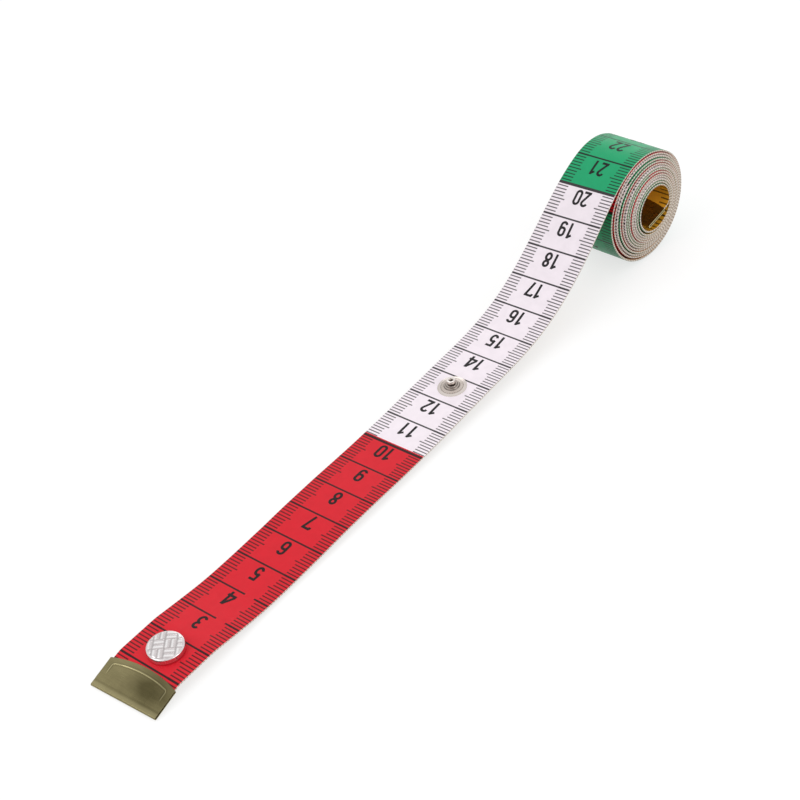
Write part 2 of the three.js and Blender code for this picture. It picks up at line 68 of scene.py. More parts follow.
# How the outer clip sits on the tape: turn in degrees, place of the turn along it, and sideways shift
TIP_TURN, TIP_PIVOT, TIP_SHIFT = 2.8, 7.5, -0.12
PLACE = "tape_mm"
LOG = logging.getLogger("tape_measure")

Colour = tuple[float, float, float, float]
Point = tuple[float, float]
Value = Union[bpy.types.NodeSocket, float, Colour]
Shaping = Callable[[np.ndarray, np.ndarray, np.ndarray], np.ndarray]


def shade(red: float, green: float, blue: float) -> Colour:
    """Linear colour of a display colour, by the standard display curve.

    Args:
        red: Red part, from 0 to 255.
        green: Green part.
        blue: Blue part.

    Returns:
        The colour with full cover.
    """
    parts = np.array([red, green, blue]) / 255.0
    low, high = parts / 12.92, ((parts + 0.055) / 1.055) ** 2.4
    return (*np.where(parts <= 0.04045, low, high).tolist(), 1.0)


def ease(value: np.ndarray, low: float, high: float) -> np.ndarray:
    """Smooth step of an array from 0 at low to 1 at high."""
    share = np.clip((np.asarray(value, float) - low) / (high - low), 0.0, 1.0)
    return share * share * (3.0 - 2.0 * share)


def bell(value: np.ndarray, middle: float, width: float) -> np.ndarray:
    """Bell curve of an array, which is 1 at its middle."""
    return np.exp(-((value - middle) / width) ** 2)


class TapeSide(IntEnum):
    """Surfaces of the tape, numbered as their materials are."""

    PRINTED = 0
    REVERSE = 1
    CUT_EDGE = 2
    INK = 3


class FieldColour(Enum):
    """Colours of the printed fields, in the order in which they follow each other."""

    RED = shade(216, 24, 41)
    WHITE = shade(246, 236, 243)
    GREEN = shade(26, 166, 110)


class ShaderGraph:
    """Nodes of one material or world, wired by short calls."""

    def __init__(self, tree: bpy.types.NodeTree) -> None:
        """Keeps a node tree and empties it."""
        self.tree = tree
        tree.nodes.clear()

    def feed(self, socket: bpy.types.NodeSocket, value: Value) -> None:
        """Links a socket to another one, or sets its value.

        Args:
            socket: Input to fill.
            value: Socket, number or colour to put there.
        """
        if isinstance(value, bpy.types.NodeSocket):
            self.tree.links.new(value, socket)
        else:
            socket.default_value = value

    def node(self, kind: str, inputs: Optional[dict] = None, **settings: object) -> bpy.types.Node:
        """Adds a node.

        Args:
            kind: Blender's name of the node type.
            inputs: Values or sockets by the name or number of the input.
            settings: Properties of the node itself.

        Returns:
            The new node.
        """
        made = self.tree.nodes.new(kind)
        for name, setting in settings.items():
            setattr(made, name, setting)
        for key, value in (inputs or {}).items():
            self.feed(made.inputs[key], value)
        return made

    def math(self, operation: str, *values: Value) -> bpy.types.NodeSocket:
        """Result of a math node on up to three values."""
        return self.node("ShaderNodeMath", dict(enumerate(values)), operation=operation).outputs[0]

    def ramp(self, value: Value, low: float, high: float, to: Point = (0.0, 1.0)) -> bpy.types.NodeSocket:
        """Smooth step of a value between two limits, which may fall."""
        inputs = {"Value": value, "From Min": low, "From Max": high, "To Min": to[0], "To Max": to[1]}
        return self.node("ShaderNodeMapRange", inputs, interpolation_type="SMOOTHSTEP").outputs[0]

    def mix(self, share: Value, first: Value, second: Value, mode: str = "MIX") -> bpy.types.NodeSocket:
        """Two colours mixed.

        Args:
            share: Share of the second colour.
            first: First colour.
            second: Second colour.
            mode: How they are mixed.

        Returns:
            The mixed colour.
        """
        made = self.node("ShaderNodeMix", data_type="RGBA", blend_type=mode)
        # The node's colours are its inputs 6 and 7 and its output 2
        for number, value in ((0, share), (6, first), (7, second)):
            self.feed(made.inputs[number], value)
        return made.outputs[2]

    def noise(self, vector: Value, scale: float, detail: float = 2.0) -> bpy.types.NodeSocket:
        """Noise value from 0 to 1 at a vector."""
        inputs = {"Vector": vector, "Scale": scale, "Detail": detail}
        return self.node("ShaderNodeTexNoise", inputs).outputs["Fac"]

    def uneven(self, vector: Value, scale: float, detail: float, levels: Point) -> bpy.types.NodeSocket:
        """Value that wanders between two levels by noise, which lies mostly from 0.3 to 0.7."""
        return self.ramp(self.noise(vector, scale, detail), 0.3, 0.7, levels)

    def bump(self, height: Value, strength: float, depth: float) -> bpy.types.NodeSocket:
        """Normal of a height that is at most a depth in millimetres."""
        inputs = {"Height": height, "Strength": strength, "Distance": depth * MM}
        return self.node("ShaderNodeBump", inputs).outputs[0]

    def surface(self, **inputs: Value) -> None:
        """Ends the graph in a principled surface.

        Args:
            inputs: Its inputs, named with underscores for spaces.
        """
        named = {key.replace("_", " "): value for key, value in inputs.items()}
        shader = self.node("ShaderNodeBsdfPrincipled", named)
        self.node("ShaderNodeOutputMaterial", {"Surface": shader.outputs[0]})


def new_material(name: str) -> tuple[bpy.types.Material, ShaderGraph]:
    """Empty material.

    Args:
        name: Its name.

    Returns:
        The material and its shader graph.
    """
    made = bpy.data.materials.new(name)
    made.use_nodes = True
    return made, ShaderGraph(made.node_tree)


@dataclass(frozen=True)
class ScaleMarks:
    """Ticks and lines of a printed scale, which is in centimetres unless its units say otherwise."""

    unit: float = 1.0
    half_unit: float = 5.0
    line_unit: float = 10.0
    field_unit: float = 100.0
    tick_length: float = 3.8
    half_tick_length: float = 4.7
    tick_width: float = 0.35
    line_width: float = 0.50
    heavy_width: float = 0.58
    field_line_width: float = 0.84
    blur: float = 0.03
    tick_cover: float = 0.9
    bare_middle: float = 35.0
    bare_reach: float = 10.0
    bare_side: float = 2.2

    def near(self, graph: ShaderGraph, reading: Value, pitch: float, width: float) -> bpy.types.NodeSocket:
        """Mask of lines of a width at every pitch along the tape."""
        distance = graph.math("PINGPONG", reading, pitch / 2.0)
        return graph.ramp(distance, width / 2.0 + self.blur, width / 2.0 - self.blur)

    def beside(self, graph: ShaderGraph, across: Value, length: float) -> bpy.types.NodeSocket:
        """Mask of the two strips of a length in from the tape's edges."""
        limit = HALF_WIDTH - length
        return graph.ramp(graph.math("ABSOLUTE", across), limit - self.blur, limit + self.blur)

    def mask(self, graph: ShaderGraph, across: Value, reading: Value) -> bpy.types.NodeSocket:
        """Mask of all the ink of the scale.

        Args:
            graph: Shader graph to build in.
            across: Distance from the tape's middle line, in millimetres.
            reading: Length along the scale, in millimetres.

        Returns:
            A socket that is 1 on ink and 0 beside it.
        """
        edge = self.beside(graph, across, self.tick_length)
        inner = self.beside(graph, across, self.half_tick_length)
        tick = graph.math("MULTIPLY", self.near(graph, reading, self.unit, self.tick_width), edge)
        half = graph.math("MULTIPLY", self.near(graph, reading, self.half_unit, self.tick_width), inner)
        heavy = graph.math("MULTIPLY", self.near(graph, reading, self.line_unit, self.heavy_width), edge)
        stretch = graph.math("COMPARE", reading, self.bare_middle, self.bare_reach)
        side = graph.math("GREATER_THAN", across, self.bare_side)
        within = graph.math("SUBTRACT", 1.0, inner)
        bare = graph.math("MULTIPLY", graph.math("MULTIPLY", stretch, side), within)
        line = self.near(graph, reading, self.line_unit, self.line_width)
        line = graph.math("MULTIPLY", line, graph.math("SUBTRACT", 1.0, bare))
        ink = self.near(graph, reading, self.field_unit, self.field_line_width)
        fine = graph.math("MULTIPLY", graph.math("MAXIMUM", tick, half), self.tick_cover)
        for part in (fine, heavy, line):
            ink = graph.math("MAXIMUM", ink, part)
        return ink


@dataclass(frozen=True)
class TapeFinish:
    """Coated cloth: printed fields outside, an amber reverse and cut threads at the edges."""

    marks: ScaleMarks = ScaleMarks()
    inch_marks: ScaleMarks = ScaleMarks(
        unit=INCH / 16.0, half_unit=INCH / 2.0, line_unit=INCH, field_unit=INCH, tick_length=2.9,
        half_tick_length=7.2, tick_width=0.46, field_line_width=0.5, bare_reach=0.0,
    )
    period: float = 300.0
    length: float = 1205.1
    ink: Colour = (0.006, 0.005, 0.006, 1.0)
    ink_cover: float = 0.96
    gloss: float = 0.24
    edge_wear: float = 0.5
    edge_wear_band: Point = (0.16, 0.05)
    ink_wear: float = 1.4
    amber: Colour = shade(240, 176, 48)
    amber_ink: Colour = shade(52, 36, 14)
    thread: Colour = shade(238, 229, 218)
    thread_gap: Colour = shade(184, 168, 152)
    weave: float = 0.46
    print_shade: Point = (0.955, 1.0)
    amber_shade: Point = (0.92, 1.0)
    print_roughness: Point = (0.36, 0.46)
    amber_roughness: Point = (0.28, 0.38)
    thread_roughness: float = 0.75
    figure_roughness: float = 0.42
    figure_wear: Point = (0.004, 0.03)
    fray: float = 1.6
    # Heights through the tape at which the threads give way to the coat above and to the amber below
    coat_level: Point = (0.13, 0.16)
    skin_level: Point = (-0.11, -0.15)
    skin_share: float = 0.25

    def place(self, graph: ShaderGraph) -> tuple[bpy.types.Node, bpy.types.NodeSocket]:
        """Place on the tape: its parts across, along and through it, and the whole vector."""
        vector = graph.node("ShaderNodeAttribute", attribute_name=PLACE).outputs["Vector"]
        return graph.node("ShaderNodeSeparateXYZ", {0: vector}), vector

    def field(self, graph: ShaderGraph, reading: Value, vector: Value) -> bpy.types.NodeSocket:
        """Colour of the field at a reading, a little uneven as print on cloth is.

        Args:
            graph: Shader graph to build in.
            reading: Length along the tape, in millimetres.
            vector: Place on the tape.

        Returns:
            The colour.
        """
        share = graph.math("FRACT", graph.math("DIVIDE", reading, self.period))
        ramp = graph.node("ShaderNodeValToRGB", {0: share})
        ramp.color_ramp.interpolation = "CONSTANT"
        stops = ramp.color_ramp.elements
        stops.new(2.0 / 3.0)
        for stop, place, colour in zip(stops, (0.0, 1.0 / 3.0, 2.0 / 3.0), FieldColour):
            stop.position, stop.color = place, colour.value
        uneven = graph.uneven(vector, scale=0.35, detail=3.0, levels=self.print_shade)
        return graph.mix(1.0, ramp.outputs[0], uneven, "MULTIPLY")

    def print_colour(self, graph: ShaderGraph, place: bpy.types.Node, vector: Value) -> bpy.types.NodeSocket:
        """Colour of the printed side with its scale.

        Args:
            graph: Shader graph to build in.
            place: Parts of the place on the tape.
            vector: The whole place.

        Returns:
            The colour.
        """
        across, reading = place.outputs[0], place.outputs[1]
        start, end = (HALF_WIDTH - band for band in self.edge_wear_band)
        wear_and_shine = graph.ramp(graph.math("ABSOLUTE", across), start, end, (0.0, self.edge_wear))
        kept = graph.math("MULTIPLY_ADD", wear_and_shine, -self.ink_wear, self.ink_cover)
        cover = graph.math("MULTIPLY", self.marks.mask(graph, across, reading), kept)
        colour = graph.mix(wear_and_shine, self.field(graph, reading, vector), self.thread)
        return graph.mix(cover, colour, self.ink)

    def weave_bump(self, graph: ShaderGraph, place: bpy.types.Node) -> bpy.types.NodeSocket:
        """Normal of the cloth's weave, as it shows through the coating.

        Args:
            graph: Shader graph to build in.
            place: Parts of the place on the tape.

        Returns:
            The normal.
        """
        waves = [
            graph.math("SINE", graph.math("MULTIPLY", part, TURN / self.weave))
            for part in (place.outputs[0], place.outputs[1])
        ]
        height = graph.math("MULTIPLY_ADD", graph.math("MULTIPLY", *waves), 0.5, 0.5)
        return graph.bump(height, strength=0.25, depth=0.02)

    def printed(self) -> bpy.types.Material:
        """Dresses the printed side.

        Returns:
            Its material.
        """
        made, graph = new_material("tape_print")
        place, vector = self.place(graph)
        graph.surface(
            Base_Color=self.print_colour(graph, place, vector),
            Roughness=graph.uneven(vector, scale=0.8, detail=4.0, levels=self.print_roughness),
            Specular_IOR_Level=self.gloss,
            Normal=self.weave_bump(graph, place),
        )
        return made

    def reverse(self) -> bpy.types.Material:
        """Dresses the reverse, whose scale counts inches from the other end.

        Returns:
            Its material.
        """
        made, graph = new_material("tape_reverse")
        place, vector = self.place(graph)
        reading = graph.math("SUBTRACT", self.length, place.outputs[1])
        ink = self.inch_marks.mask(graph, place.outputs[0], reading)
        uneven = graph.uneven(vector, scale=0.4, detail=3.0, levels=self.amber_shade)
        field_colour = graph.mix(1.0, self.amber, uneven, "MULTIPLY")
        cover = graph.math("MULTIPLY", ink, self.ink_cover)
        graph.surface(
            Base_Color=graph.mix(cover, field_colour, self.amber_ink),
            Roughness=graph.uneven(vector, scale=0.8, detail=4.0, levels=self.amber_roughness),
            Specular_IOR_Level=self.gloss,
            Normal=self.weave_bump(graph, place),
        )
        return made

    def cut_edge(self) -> bpy.types.Material:
        """Dresses the cut edges: threads between the print above and the amber below.

        Returns:
            Their material.
        """
        made, graph = new_material("tape_cut_edge")
        place, vector = self.place(graph)
        height = place.outputs[2]
        wave = graph.math("SINE", graph.math("MULTIPLY", place.outputs[1], TURN / (2.0 * self.weave)))
        loose = graph.noise(vector, scale=3.0, detail=3.0)
        fray = graph.math("MULTIPLY_ADD", loose, self.fray, -self.fray / 2.0)
        dots = graph.ramp(graph.math("ADD", wave, fray), -0.7, 0.7)
        cloth = graph.mix(dots, self.thread_gap, self.thread)
        coat = graph.ramp(height, *self.coat_level)
        skin = graph.ramp(height, *self.skin_level)
        colour = graph.mix(coat, cloth, self.print_colour(graph, place, vector))
        graph.surface(
            Base_Color=graph.mix(graph.math("MULTIPLY", skin, self.skin_share), colour, self.amber),
            Roughness=self.thread_roughness,
            Specular_IOR_Level=self.gloss,
            Normal=graph.bump(dots, strength=0.5, depth=0.04),
        )
        return made

    def figures(self) -> bpy.types.Material:
        """Dresses the printed figures, which let a little of the field through.

        Returns:
            Their material.
        """
        made, graph = new_material("tape_figures")
        place, vector = self.place(graph)
        wear_and_shine = graph.ramp(graph.noise(vector, scale=2.5, detail=3.0), 0.35, 0.8, self.figure_wear)
        graph.surface(
            Base_Color=graph.mix(wear_and_shine, self.ink, self.field(graph, place.outputs[1], vector)),
            Roughness=self.figure_roughness,
            Specular_IOR_Level=self.gloss,
            Normal=self.weave_bump(graph, place),
        )
        return made

    def materials(self) -> list[bpy.types.Material]:
        """Materials in the order of the tape's sides."""
        return [self.printed(), self.reverse(), self.cut_edge(), self.figures()]


@dataclass(frozen=True)
class MetalFinish:
    """Plated or bare sheet metal with brush lines and random darker patches, and painted highlights, painted
    darker areas and painted shade in recesses.
    """

    name: str
    bright: Colour
    # Darker tone, both for random patches and for painted darker areas
    dull: Colour
    # Colours of the painted shade in recesses and of the painted highlights
    deep: Colour
    crest: Colour
    roughness: Point
    patch: float = 150.0
    line: float = 5200.0
    scratch: float = 0.12
    patch_share: float = 0.35
    line_shade: Point = (0.93, 1.04)
    line_squeeze: tuple[float, ...] = (0.05, 1.0, 1.0)

    def material(self) -> bpy.types.Material:
        """Dresses a piece whose painted highlights, painted darker areas and painted shade in recesses are
        marked on its mesh.

        Returns:
            The material of this metal.
        """
        made, graph = new_material(self.name)
        vector = graph.node("ShaderNodeTexCoord").outputs["Object"]
        marked = graph.node("ShaderNodeAttribute", attribute_name=PLACE).outputs["Vector"]
        marks = graph.node("ShaderNodeSeparateXYZ", {0: marked})
        patches = graph.ramp(graph.noise(vector, self.patch, detail=4.0), 0.32, 0.7)
        # Random darker patches, plus the painted darker areas marked on the mesh
        dull = graph.math("MULTIPLY_ADD", patches, self.patch_share, marks.outputs[1])
        drawn = graph.node("ShaderNodeMapping", {"Vector": vector, "Scale": self.line_squeeze}).outputs[0]
        lines = graph.noise(drawn, self.line)
        colour = graph.mix(dull, self.bright, self.dull)
        colour = graph.mix(1.0, colour, graph.ramp(lines, 0.3, 0.7, self.line_shade), "MULTIPLY")
        # Painted shade in the recesses marked on the mesh
        colour = graph.mix(marks.outputs[2], colour, self.deep)
        graph.surface(
            # Painted highlights where the mesh marks them
            Base_Color=graph.mix(marks.outputs[0], colour, self.crest),
            Metallic=1.0,
            Roughness=graph.ramp(patches, 0.0, 1.0, self.roughness),
            Normal=graph.bump(lines, self.scratch, depth=0.02),
        )
        return made


class Metal(Enum):
    """The metals of the clips and the closure."""

    BRASS = MetalFinish(
        "clip_brass_sheet", bright=shade(145, 136, 99), dull=shade(92, 85, 57),
        deep=shade(66, 60, 38), crest=shade(204, 194, 150), roughness=(0.24, 0.34))
    NICKEL = MetalFinish(
        "snap_nickel_plate", bright=shade(234, 228, 229), dull=shade(216, 209, 209),
        deep=shade(128, 121, 121), crest=shade(252, 250, 250), roughness=(0.16, 0.24))
    WARM_NICKEL = MetalFinish(
        "stud_nickel_plate", bright=shade(212, 201, 193), dull=shade(188, 176, 167),
        deep=shade(58, 48, 42), crest=shade(240, 233, 229), roughness=(0.17, 0.26))
    STEEL = MetalFinish(
        "spring_wire_steel", bright=shade(178, 180, 184), dull=shade(150, 152, 156),
        deep=shade(70, 70, 72), crest=shade(210, 210, 212), roughness=(0.25, 0.38))


def linked(name: str, data: bpy.types.ID) -> bpy.types.Object:
    """New object of some data, linked to the scene.

    Args:
        name: Name of the object.
        data: Its mesh, camera or lamp.

    Returns:
        The object.
    """
    made = bpy.data.objects.new(name, data)
    bpy.context.scene.collection.objects.link(made)
    return made


def from_columns(*columns: Sequence[float]) -> Matrix:
    """Placing matrix of three directions and a place, which are its columns."""
    return Matrix([[column[row] for column in columns] for row in range(3)] + [[0.0, 0.0, 0.0, 1.0]])


@dataclass
class MeshParts:
    """Points, faces, side numbers and places on the tape, gathered for one mesh."""

    points: list = field(default_factory=list)
    faces: list = field(default_factory=list)
    sides: list = field(default_factory=list)
    places: list = field(default_factory=list)
    count: int = 0

    def add(self, points: np.ndarray, faces: Sequence[Sequence[int]], sides: Union[int, Sequence[int]],
            places: Optional[np.ndarray] = None) -> "MeshParts":
        """Adds one closed shell.

        Args:
            points: Its points in millimetres, one row each.
            faces: Its faces as numbers of those points.
            sides: The material number of all faces, or of each.
            places: Where each point is on the tape, or how it is marked on metal.

        Returns:
            These parts.
        """
        self.points.append(points)
        self.faces.extend([[number + self.count for number in face] for face in faces])
        self.sides.extend([sides] * len(faces) if isinstance(sides, int) else sides)
        self.places.append(np.zeros_like(points) if places is None else places)
        self.count += len(points)
        return self

    def object(self, name: str, materials: Sequence[bpy.types.Material],
               crease: float = 50.0) -> bpy.types.Object:
        """Mesh object of all the shells.

        Args:
            name: Name of the piece.
            materials: Materials by number.
            crease: Angle in degrees above which an edge stays sharp.

        Returns:
            The new object, linked to the scene.
        """
        mesh = bpy.data.meshes.new(name)
        mesh.from_pydata((np.concatenate(self.points) * MM).tolist(), [], self.faces)
        for made in materials:
            mesh.materials.append(made)
        mesh.polygons.foreach_set("material_index", self.sides)
        places = mesh.attributes.new(PLACE, "FLOAT_VECTOR", "POINT")
        places.data.foreach_set("vector", np.concatenate(self.places).astype(np.float32).ravel())
        finish_mesh(mesh, crease)
        return linked(name, mesh)


def finish_mesh(mesh: bpy.types.Mesh, crease: float) -> None:
    """Turns all faces of a mesh outwards and smooths it.

    Args:
        mesh: Mesh to change.
        crease: Angle in degrees above which an edge stays sharp.
    """
    work = bmesh.new()
    work.from_mesh(mesh)
    bmesh.ops.recalc_face_normals(work, faces=work.faces)
    work.to_mesh(mesh)
    work.free()
    mesh.shade_smooth()
    mesh.set_sharp_from_angle(angle=math.radians(crease))
    mesh.update()


@dataclass
class Route:
    """Middle line of the tape, from the fold of the outer clip to the inner clip in the bore."""

    thickness: float = 0.38
    clip_half: float = 0.64
    clip_length: float = 9.1
    cap_reading: float = 15.8
    cap_radius: float = 4.8
    clamp_height: float = 2.89
    stud_reading: float = 126.2
    stud_reach: float = 4.57
    stud_to_rise: float = 5.0
    stud_slope: float = 3.6
    leave_reading: float = 212.0
    leave_slope: float = 15.0
    pitch: float = 0.6997
    whole_turns: int = 13
    telescope: float = 2.7
    telescope_power: float = 1.4
    wander: float = 0.1
    wander_rate: float = 0.37
    chord_offset: float = 3.5
    chord_normal: float = -77.0
    bend_radius: float = 2.5
    clip_to_ring: float = 0.708
    swell: float = 1.5
    swell_length: float = 24.0
    flat_end: float = 12.0
    step: float = 0.1
    steepest: float = 80.0
    # Slopes by share of the way: from cap to stud in degrees, and of the rise as shares of its steepest slope
    dip: tuple[Point, ...] = (
        (0.024, -6.5), (0.133, -5.0), (0.212, 0.0), (0.311, 2.0), (0.41, 2.2), (0.509, 0.0),
        (0.647, -0.6), (0.746, 0.8), (0.845, 2.8), (0.934, 5.0),
    )
    rise: tuple[Point, ...] = (
        (0.0, 0.06), (0.08, 0.123), (0.186, 0.26), (0.317, 0.52), (0.449, 0.762), (0.58, 0.93),
        (0.711, 1.0), (0.816, 0.945), (0.895, 0.82), (0.961, 0.66),
    )
    # Sideways swing in degrees, lift in millimetres and sideways tilt in degrees, by reading
    swing: tuple[Point, ...] = (
        (0.0, -0.24), (100.0, -0.24), (150.0, 0.27), (180.0, -0.7), (198.0, 1.36), (212.0, 4.58),
    )
    lift: tuple[Point, ...] = (
        (20.0, 0.0), (60.0, -0.4), (80.0, -0.09), (100.0, -0.09), (126.0, -0.4), (150.0, -0.29),
    )
    bank: tuple[Point, ...] = (
        (150.0, 0.0), (196.0, 1.2), (212.0, 1.5), (240.0, 1.3), (264.0, 1.0), (298.0, 1.5),
    )
    # Where the winding sags on the table or lies tight: turned angle and half reach in degrees, inward shift
    slack: tuple[tuple[float, float, float], ...] = (
        (285.0, 85.0, -0.78), (645.0, 88.0, -0.56), (1005.0, 90.0, -0.4), (1365.0, 90.0, -0.22),
        (1725.0, 90.0, -0.1), (4605.0, 170.0, 0.42),
        (195.0, 100.0, -0.82), (555.0, 78.0, -0.6), (915.0, 80.0, -0.46), (1275.0, 80.0, -0.3),
        (1635.0, 80.0, -0.16),
    )
    # How far the inner turns are tucked in to clear the outer turn when they are tightened, and the turned
    # angles in degrees between which that starts and ends
    tuck: float = 0.04
    tuck_start: Point = (300.0, 470.0)
    tuck_end: Point = (4000.0, 1200.0)
    # How far the near side of the roll bellies out where the tape comes to it, fading over the turns
    belly: float = 1.0
    belly_fade: Point = (2600.0, 100.0)
    belly_angle: float = 140.0
    belly_reach: float = 85.0
    belly_lead: tuple[Point, ...] = ((184.0, 0.0), (194.0, 0.5), (202.0, 1.0), (206.0, 0.95), (212.0, 0.63))
    # From the outer clip's fold to the origin of the shared frame
    shift: tuple[float, ...] = (-2.5230, -113.2366, 0.0)

    def __post_init__(self) -> None:
        """Works out the whole line once."""
        half = self.thickness / 2.0
        normal = math.radians(self.chord_normal)
        corner = math.hypot(self.clip_length / 2.0, self.chord_offset + self.clip_half)
        self.end_radius = corner + self.clip_to_ring + half
        self.bend_middle = self.end_radius - self.bend_radius
        self.bend_turn = math.acos((self.chord_offset - self.bend_radius) / self.bend_middle)
        self.leave_angle = math.radians(90.0 + self.leave_slope)
        self.end_angle = normal + self.bend_turn
        self.turned = self.whole_turns * TURN + self.leave_angle - self.end_angle
        self.leave_radius = self.radius(0.0)
        joint = next(joint for joint in frame["joints"] if joint["name"] == "core_turn")
        self.roll_height = joint["pos_m"][2] / MM
        leave_height = self.roll_height + self.leave_radius * math.cos(math.radians(self.leave_slope))
        clip_slope = self.solve(lambda slope: self.height(slope, 0.0, self.cap_reading), self.clamp_height)
        steepest = self.solve(lambda slope: self.height(clip_slope, slope, self.leave_reading), leave_height)
        lead = self.free_run(clip_slope, steepest)
        self.roll_yaw = yaw = math.radians(self.swing[-1][1])
        reach = self.leave_radius * math.sin(math.radians(self.leave_slope))
        self.outward = np.array([math.sin(yaw), math.cos(yaw), 0.0])
        self.sideways = np.array([math.cos(yaw), -math.sin(yaw), 0.0])
        self.centre = lead[0][-1] + reach * self.outward
        self.centre[2] = self.roll_height
        self.assemble(lead, self.winding())
        self.points += np.array(self.shift)

    def radius(self, turned: Union[float, np.ndarray]) -> Union[float, np.ndarray]:
        """Even radius of the winding after a turned angle in radians."""
        return self.end_radius + self.pitch * (self.turned - turned) / TURN

    def slopes(self, clip_slope: float, steepest: float) -> np.ndarray:
        """Where the free run changes its bend.

        Args:
            clip_slope: Slope of the clip, in degrees.
            steepest: Steepest slope of the rise, in degrees.

        Returns:
            Rows of a reading and the slope there in degrees.
        """
        start, end = self.cap_reading - self.cap_radius, self.cap_reading + self.cap_radius
        before, after = self.stud_reading - self.stud_reach, self.stud_reading + self.stud_reach
        first = after + self.stud_to_rise
        rows = [(0.0, clip_slope), (self.clip_length, clip_slope), (start, 0.0), (end, 0.0)]
        rows += [(end + way * (before - end), slope) for way, slope in self.dip]
        rows += [(before, self.stud_slope), (after, self.stud_slope)]
        rows += [(first + way * (self.leave_reading - first), share * steepest) for way, share in self.rise]
        return np.array(rows + [(self.leave_reading, self.leave_slope)])

    def free_run(self, clip_slope: float, steepest: float) -> tuple[np.ndarray, ...]:
        """Free run for two slopes.

        Args:
            clip_slope: Slope of the clip, in degrees.
            steepest: Steepest slope of the rise, in degrees.

        Returns:
            Its points, slopes, yaws and readings.
        """
        table = self.slopes(clip_slope, steepest)
        count = math.ceil((self.leave_reading - self.clip_half) / self.step)
        reading = np.linspace(self.clip_half, self.leave_reading, count + 1)
        middle = (reading[1:] + reading[:-1]) / 2.0
        climb = np.radians(np.interp(middle, table[:, 0], table[:, 1]))
        swing = self.yaw(middle)
        steps = np.diff(reading)[:, None] * np.stack(
            [np.cos(climb) * np.sin(swing), np.cos(climb) * np.cos(swing), np.sin(climb)], axis=1)
        first = np.array([0.0, self.clip_half * math.cos(math.radians(clip_slope)), self.clip_half])
        points = np.vstack([first, first + np.cumsum(steps, axis=0)])
        points[:, 2] += np.interp(reading, *zip(*self.lift))
        return points, np.radians(np.interp(reading, table[:, 0], table[:, 1])), self.yaw(reading), reading

    def yaw(self, reading: np.ndarray) -> np.ndarray:
        """Sideways swing in radians, as the tape eases into the roll."""
        return np.radians(np.interp(reading, *zip(*self.swing)))

    def height(self, clip_slope: float, steepest: float, reading: float) -> float:
        """Height of the free run at a reading for two slopes."""
        points, _, _, readings = self.free_run(clip_slope, steepest)
        return float(np.interp(reading, readings, points[:, 2]))

    def solve(self, rising: Callable[[float], float], target: float) -> float:
        """Slope at which a rising function reaches its target.

        Args:
            rising: Function of a slope in degrees.
            target: Value that it is to reach.

        Returns:
            The slope in degrees.
        """
        low, high = 0.0, self.steepest
        for _ in range(40):
            middle = (low + high) / 2.0
            low, high = (middle, high) if rising(middle) < target else (low, middle)
        return (low + high) / 2.0

    def winding(self) -> tuple[np.ndarray, np.ndarray]:
        """Winding with one row to a degree, the tight bend in the bore and the straight end.

        Returns:
            Their points, and their tilts in radians.
        """
        turned = np.append(np.arange(0.0, self.turned, math.radians(1.0)), self.turned)
        angle, degrees = self.leave_angle - turned, np.degrees(turned)
        radius = self.radius(turned)
        for middle, reach, shift in self.slack:
            radius = radius - shift * ease(np.abs(degrees - middle), reach, 0.0)
        radius = radius - self.tuck * ease(degrees, *self.tuck_start) * ease(degrees, *self.tuck_end)
        share = turned / self.turned
        aside = self.telescope * (1.0 - (1.0 - share) ** self.telescope_power)
        aside = aside + self.wander * np.sin(turned * self.wander_rate) * np.sin(math.pi * share)
        along, above, tilt = radius * np.cos(angle), radius * np.sin(angle), angle - math.pi / 2.0
        curve = self.end_angle - np.linspace(0.0, self.bend_turn, 40)[1:]
        bend = self.bend_middle * np.array([math.cos(self.end_angle), math.sin(self.end_angle)])
        normal = math.radians(self.chord_normal)
        heading = normal - math.pi / 2.0
        past = np.linspace(0.0, self.clip_length / 2.0 - self.clip_half, 20)[1:]
        foot = self.chord_offset * np.array([math.cos(normal), math.sin(normal)])
        along = np.concatenate([along, bend[0] + self.bend_radius * np.cos(curve),
                                foot[0] + past * math.cos(heading)])
        above = np.concatenate([above, bend[1] + self.bend_radius * np.sin(curve),
                                foot[1] + past * math.sin(heading)])
        tilt = np.concatenate([tilt, curve - math.pi / 2.0, np.full(len(past), heading)])
        aside = np.concatenate([aside, np.full(len(curve) + len(past), self.telescope)])
        self.wound = np.concatenate([turned, np.full(len(curve) + len(past), self.turned)])
        points = self.centre + along[:, None] * self.outward + aside[:, None] * self.sideways
        points[:, 2] += above
        return points, tilt

    def assemble(self, lead: tuple[np.ndarray, ...], roll: tuple[np.ndarray, np.ndarray]) -> None:
        """Joins the free run and the winding into one line with its directions.

        Args:
            lead: Points, slopes, yaws and readings of the free run.
            roll: Points and tilts of the winding.
        """
        points, tilt, yaw, reading = lead
        lengths = np.linalg.norm(np.diff(np.vstack([points[-1], roll[0]]), axis=0), axis=1)
        rolled = reading[-1] + np.cumsum(lengths)
        self.leave_row = len(reading)
        self.points = np.vstack([points, roll[0]])
        self.reading = np.concatenate([reading, rolled])
        tilt = np.concatenate([tilt, roll[1]])
        yaw = np.concatenate([yaw, np.full(len(roll[0]), self.roll_yaw)])
        bank = np.tan(np.radians(np.interp(self.reading, *zip(*self.bank))))
        self.across = np.stack([np.cos(yaw), -np.sin(yaw), bank], axis=1)
        self.up = np.stack([-np.sin(tilt) * np.sin(yaw), -np.sin(tilt) * np.cos(yaw), np.cos(tilt)], axis=1)
        angle = np.degrees(np.concatenate([np.zeros(len(reading)), self.leave_angle - self.wound]))
        apart = np.abs((angle - self.belly_angle + 180.0) % 360.0 - 180.0)
        inward = ease(math.degrees(self.leave_angle) - angle, *self.belly_fade)
        self.bulge = self.belly * inward * ease(apart, self.belly_reach, 0.0)
        self.bulge[:len(reading)] = self.belly * np.interp(reading, *zip(*self.belly_lead))

    def reading_at(self, turned: float) -> float:
        """Reading of the winding after a turned angle in degrees."""
        return float(self.reading[self.leave_row + int(round(turned))])

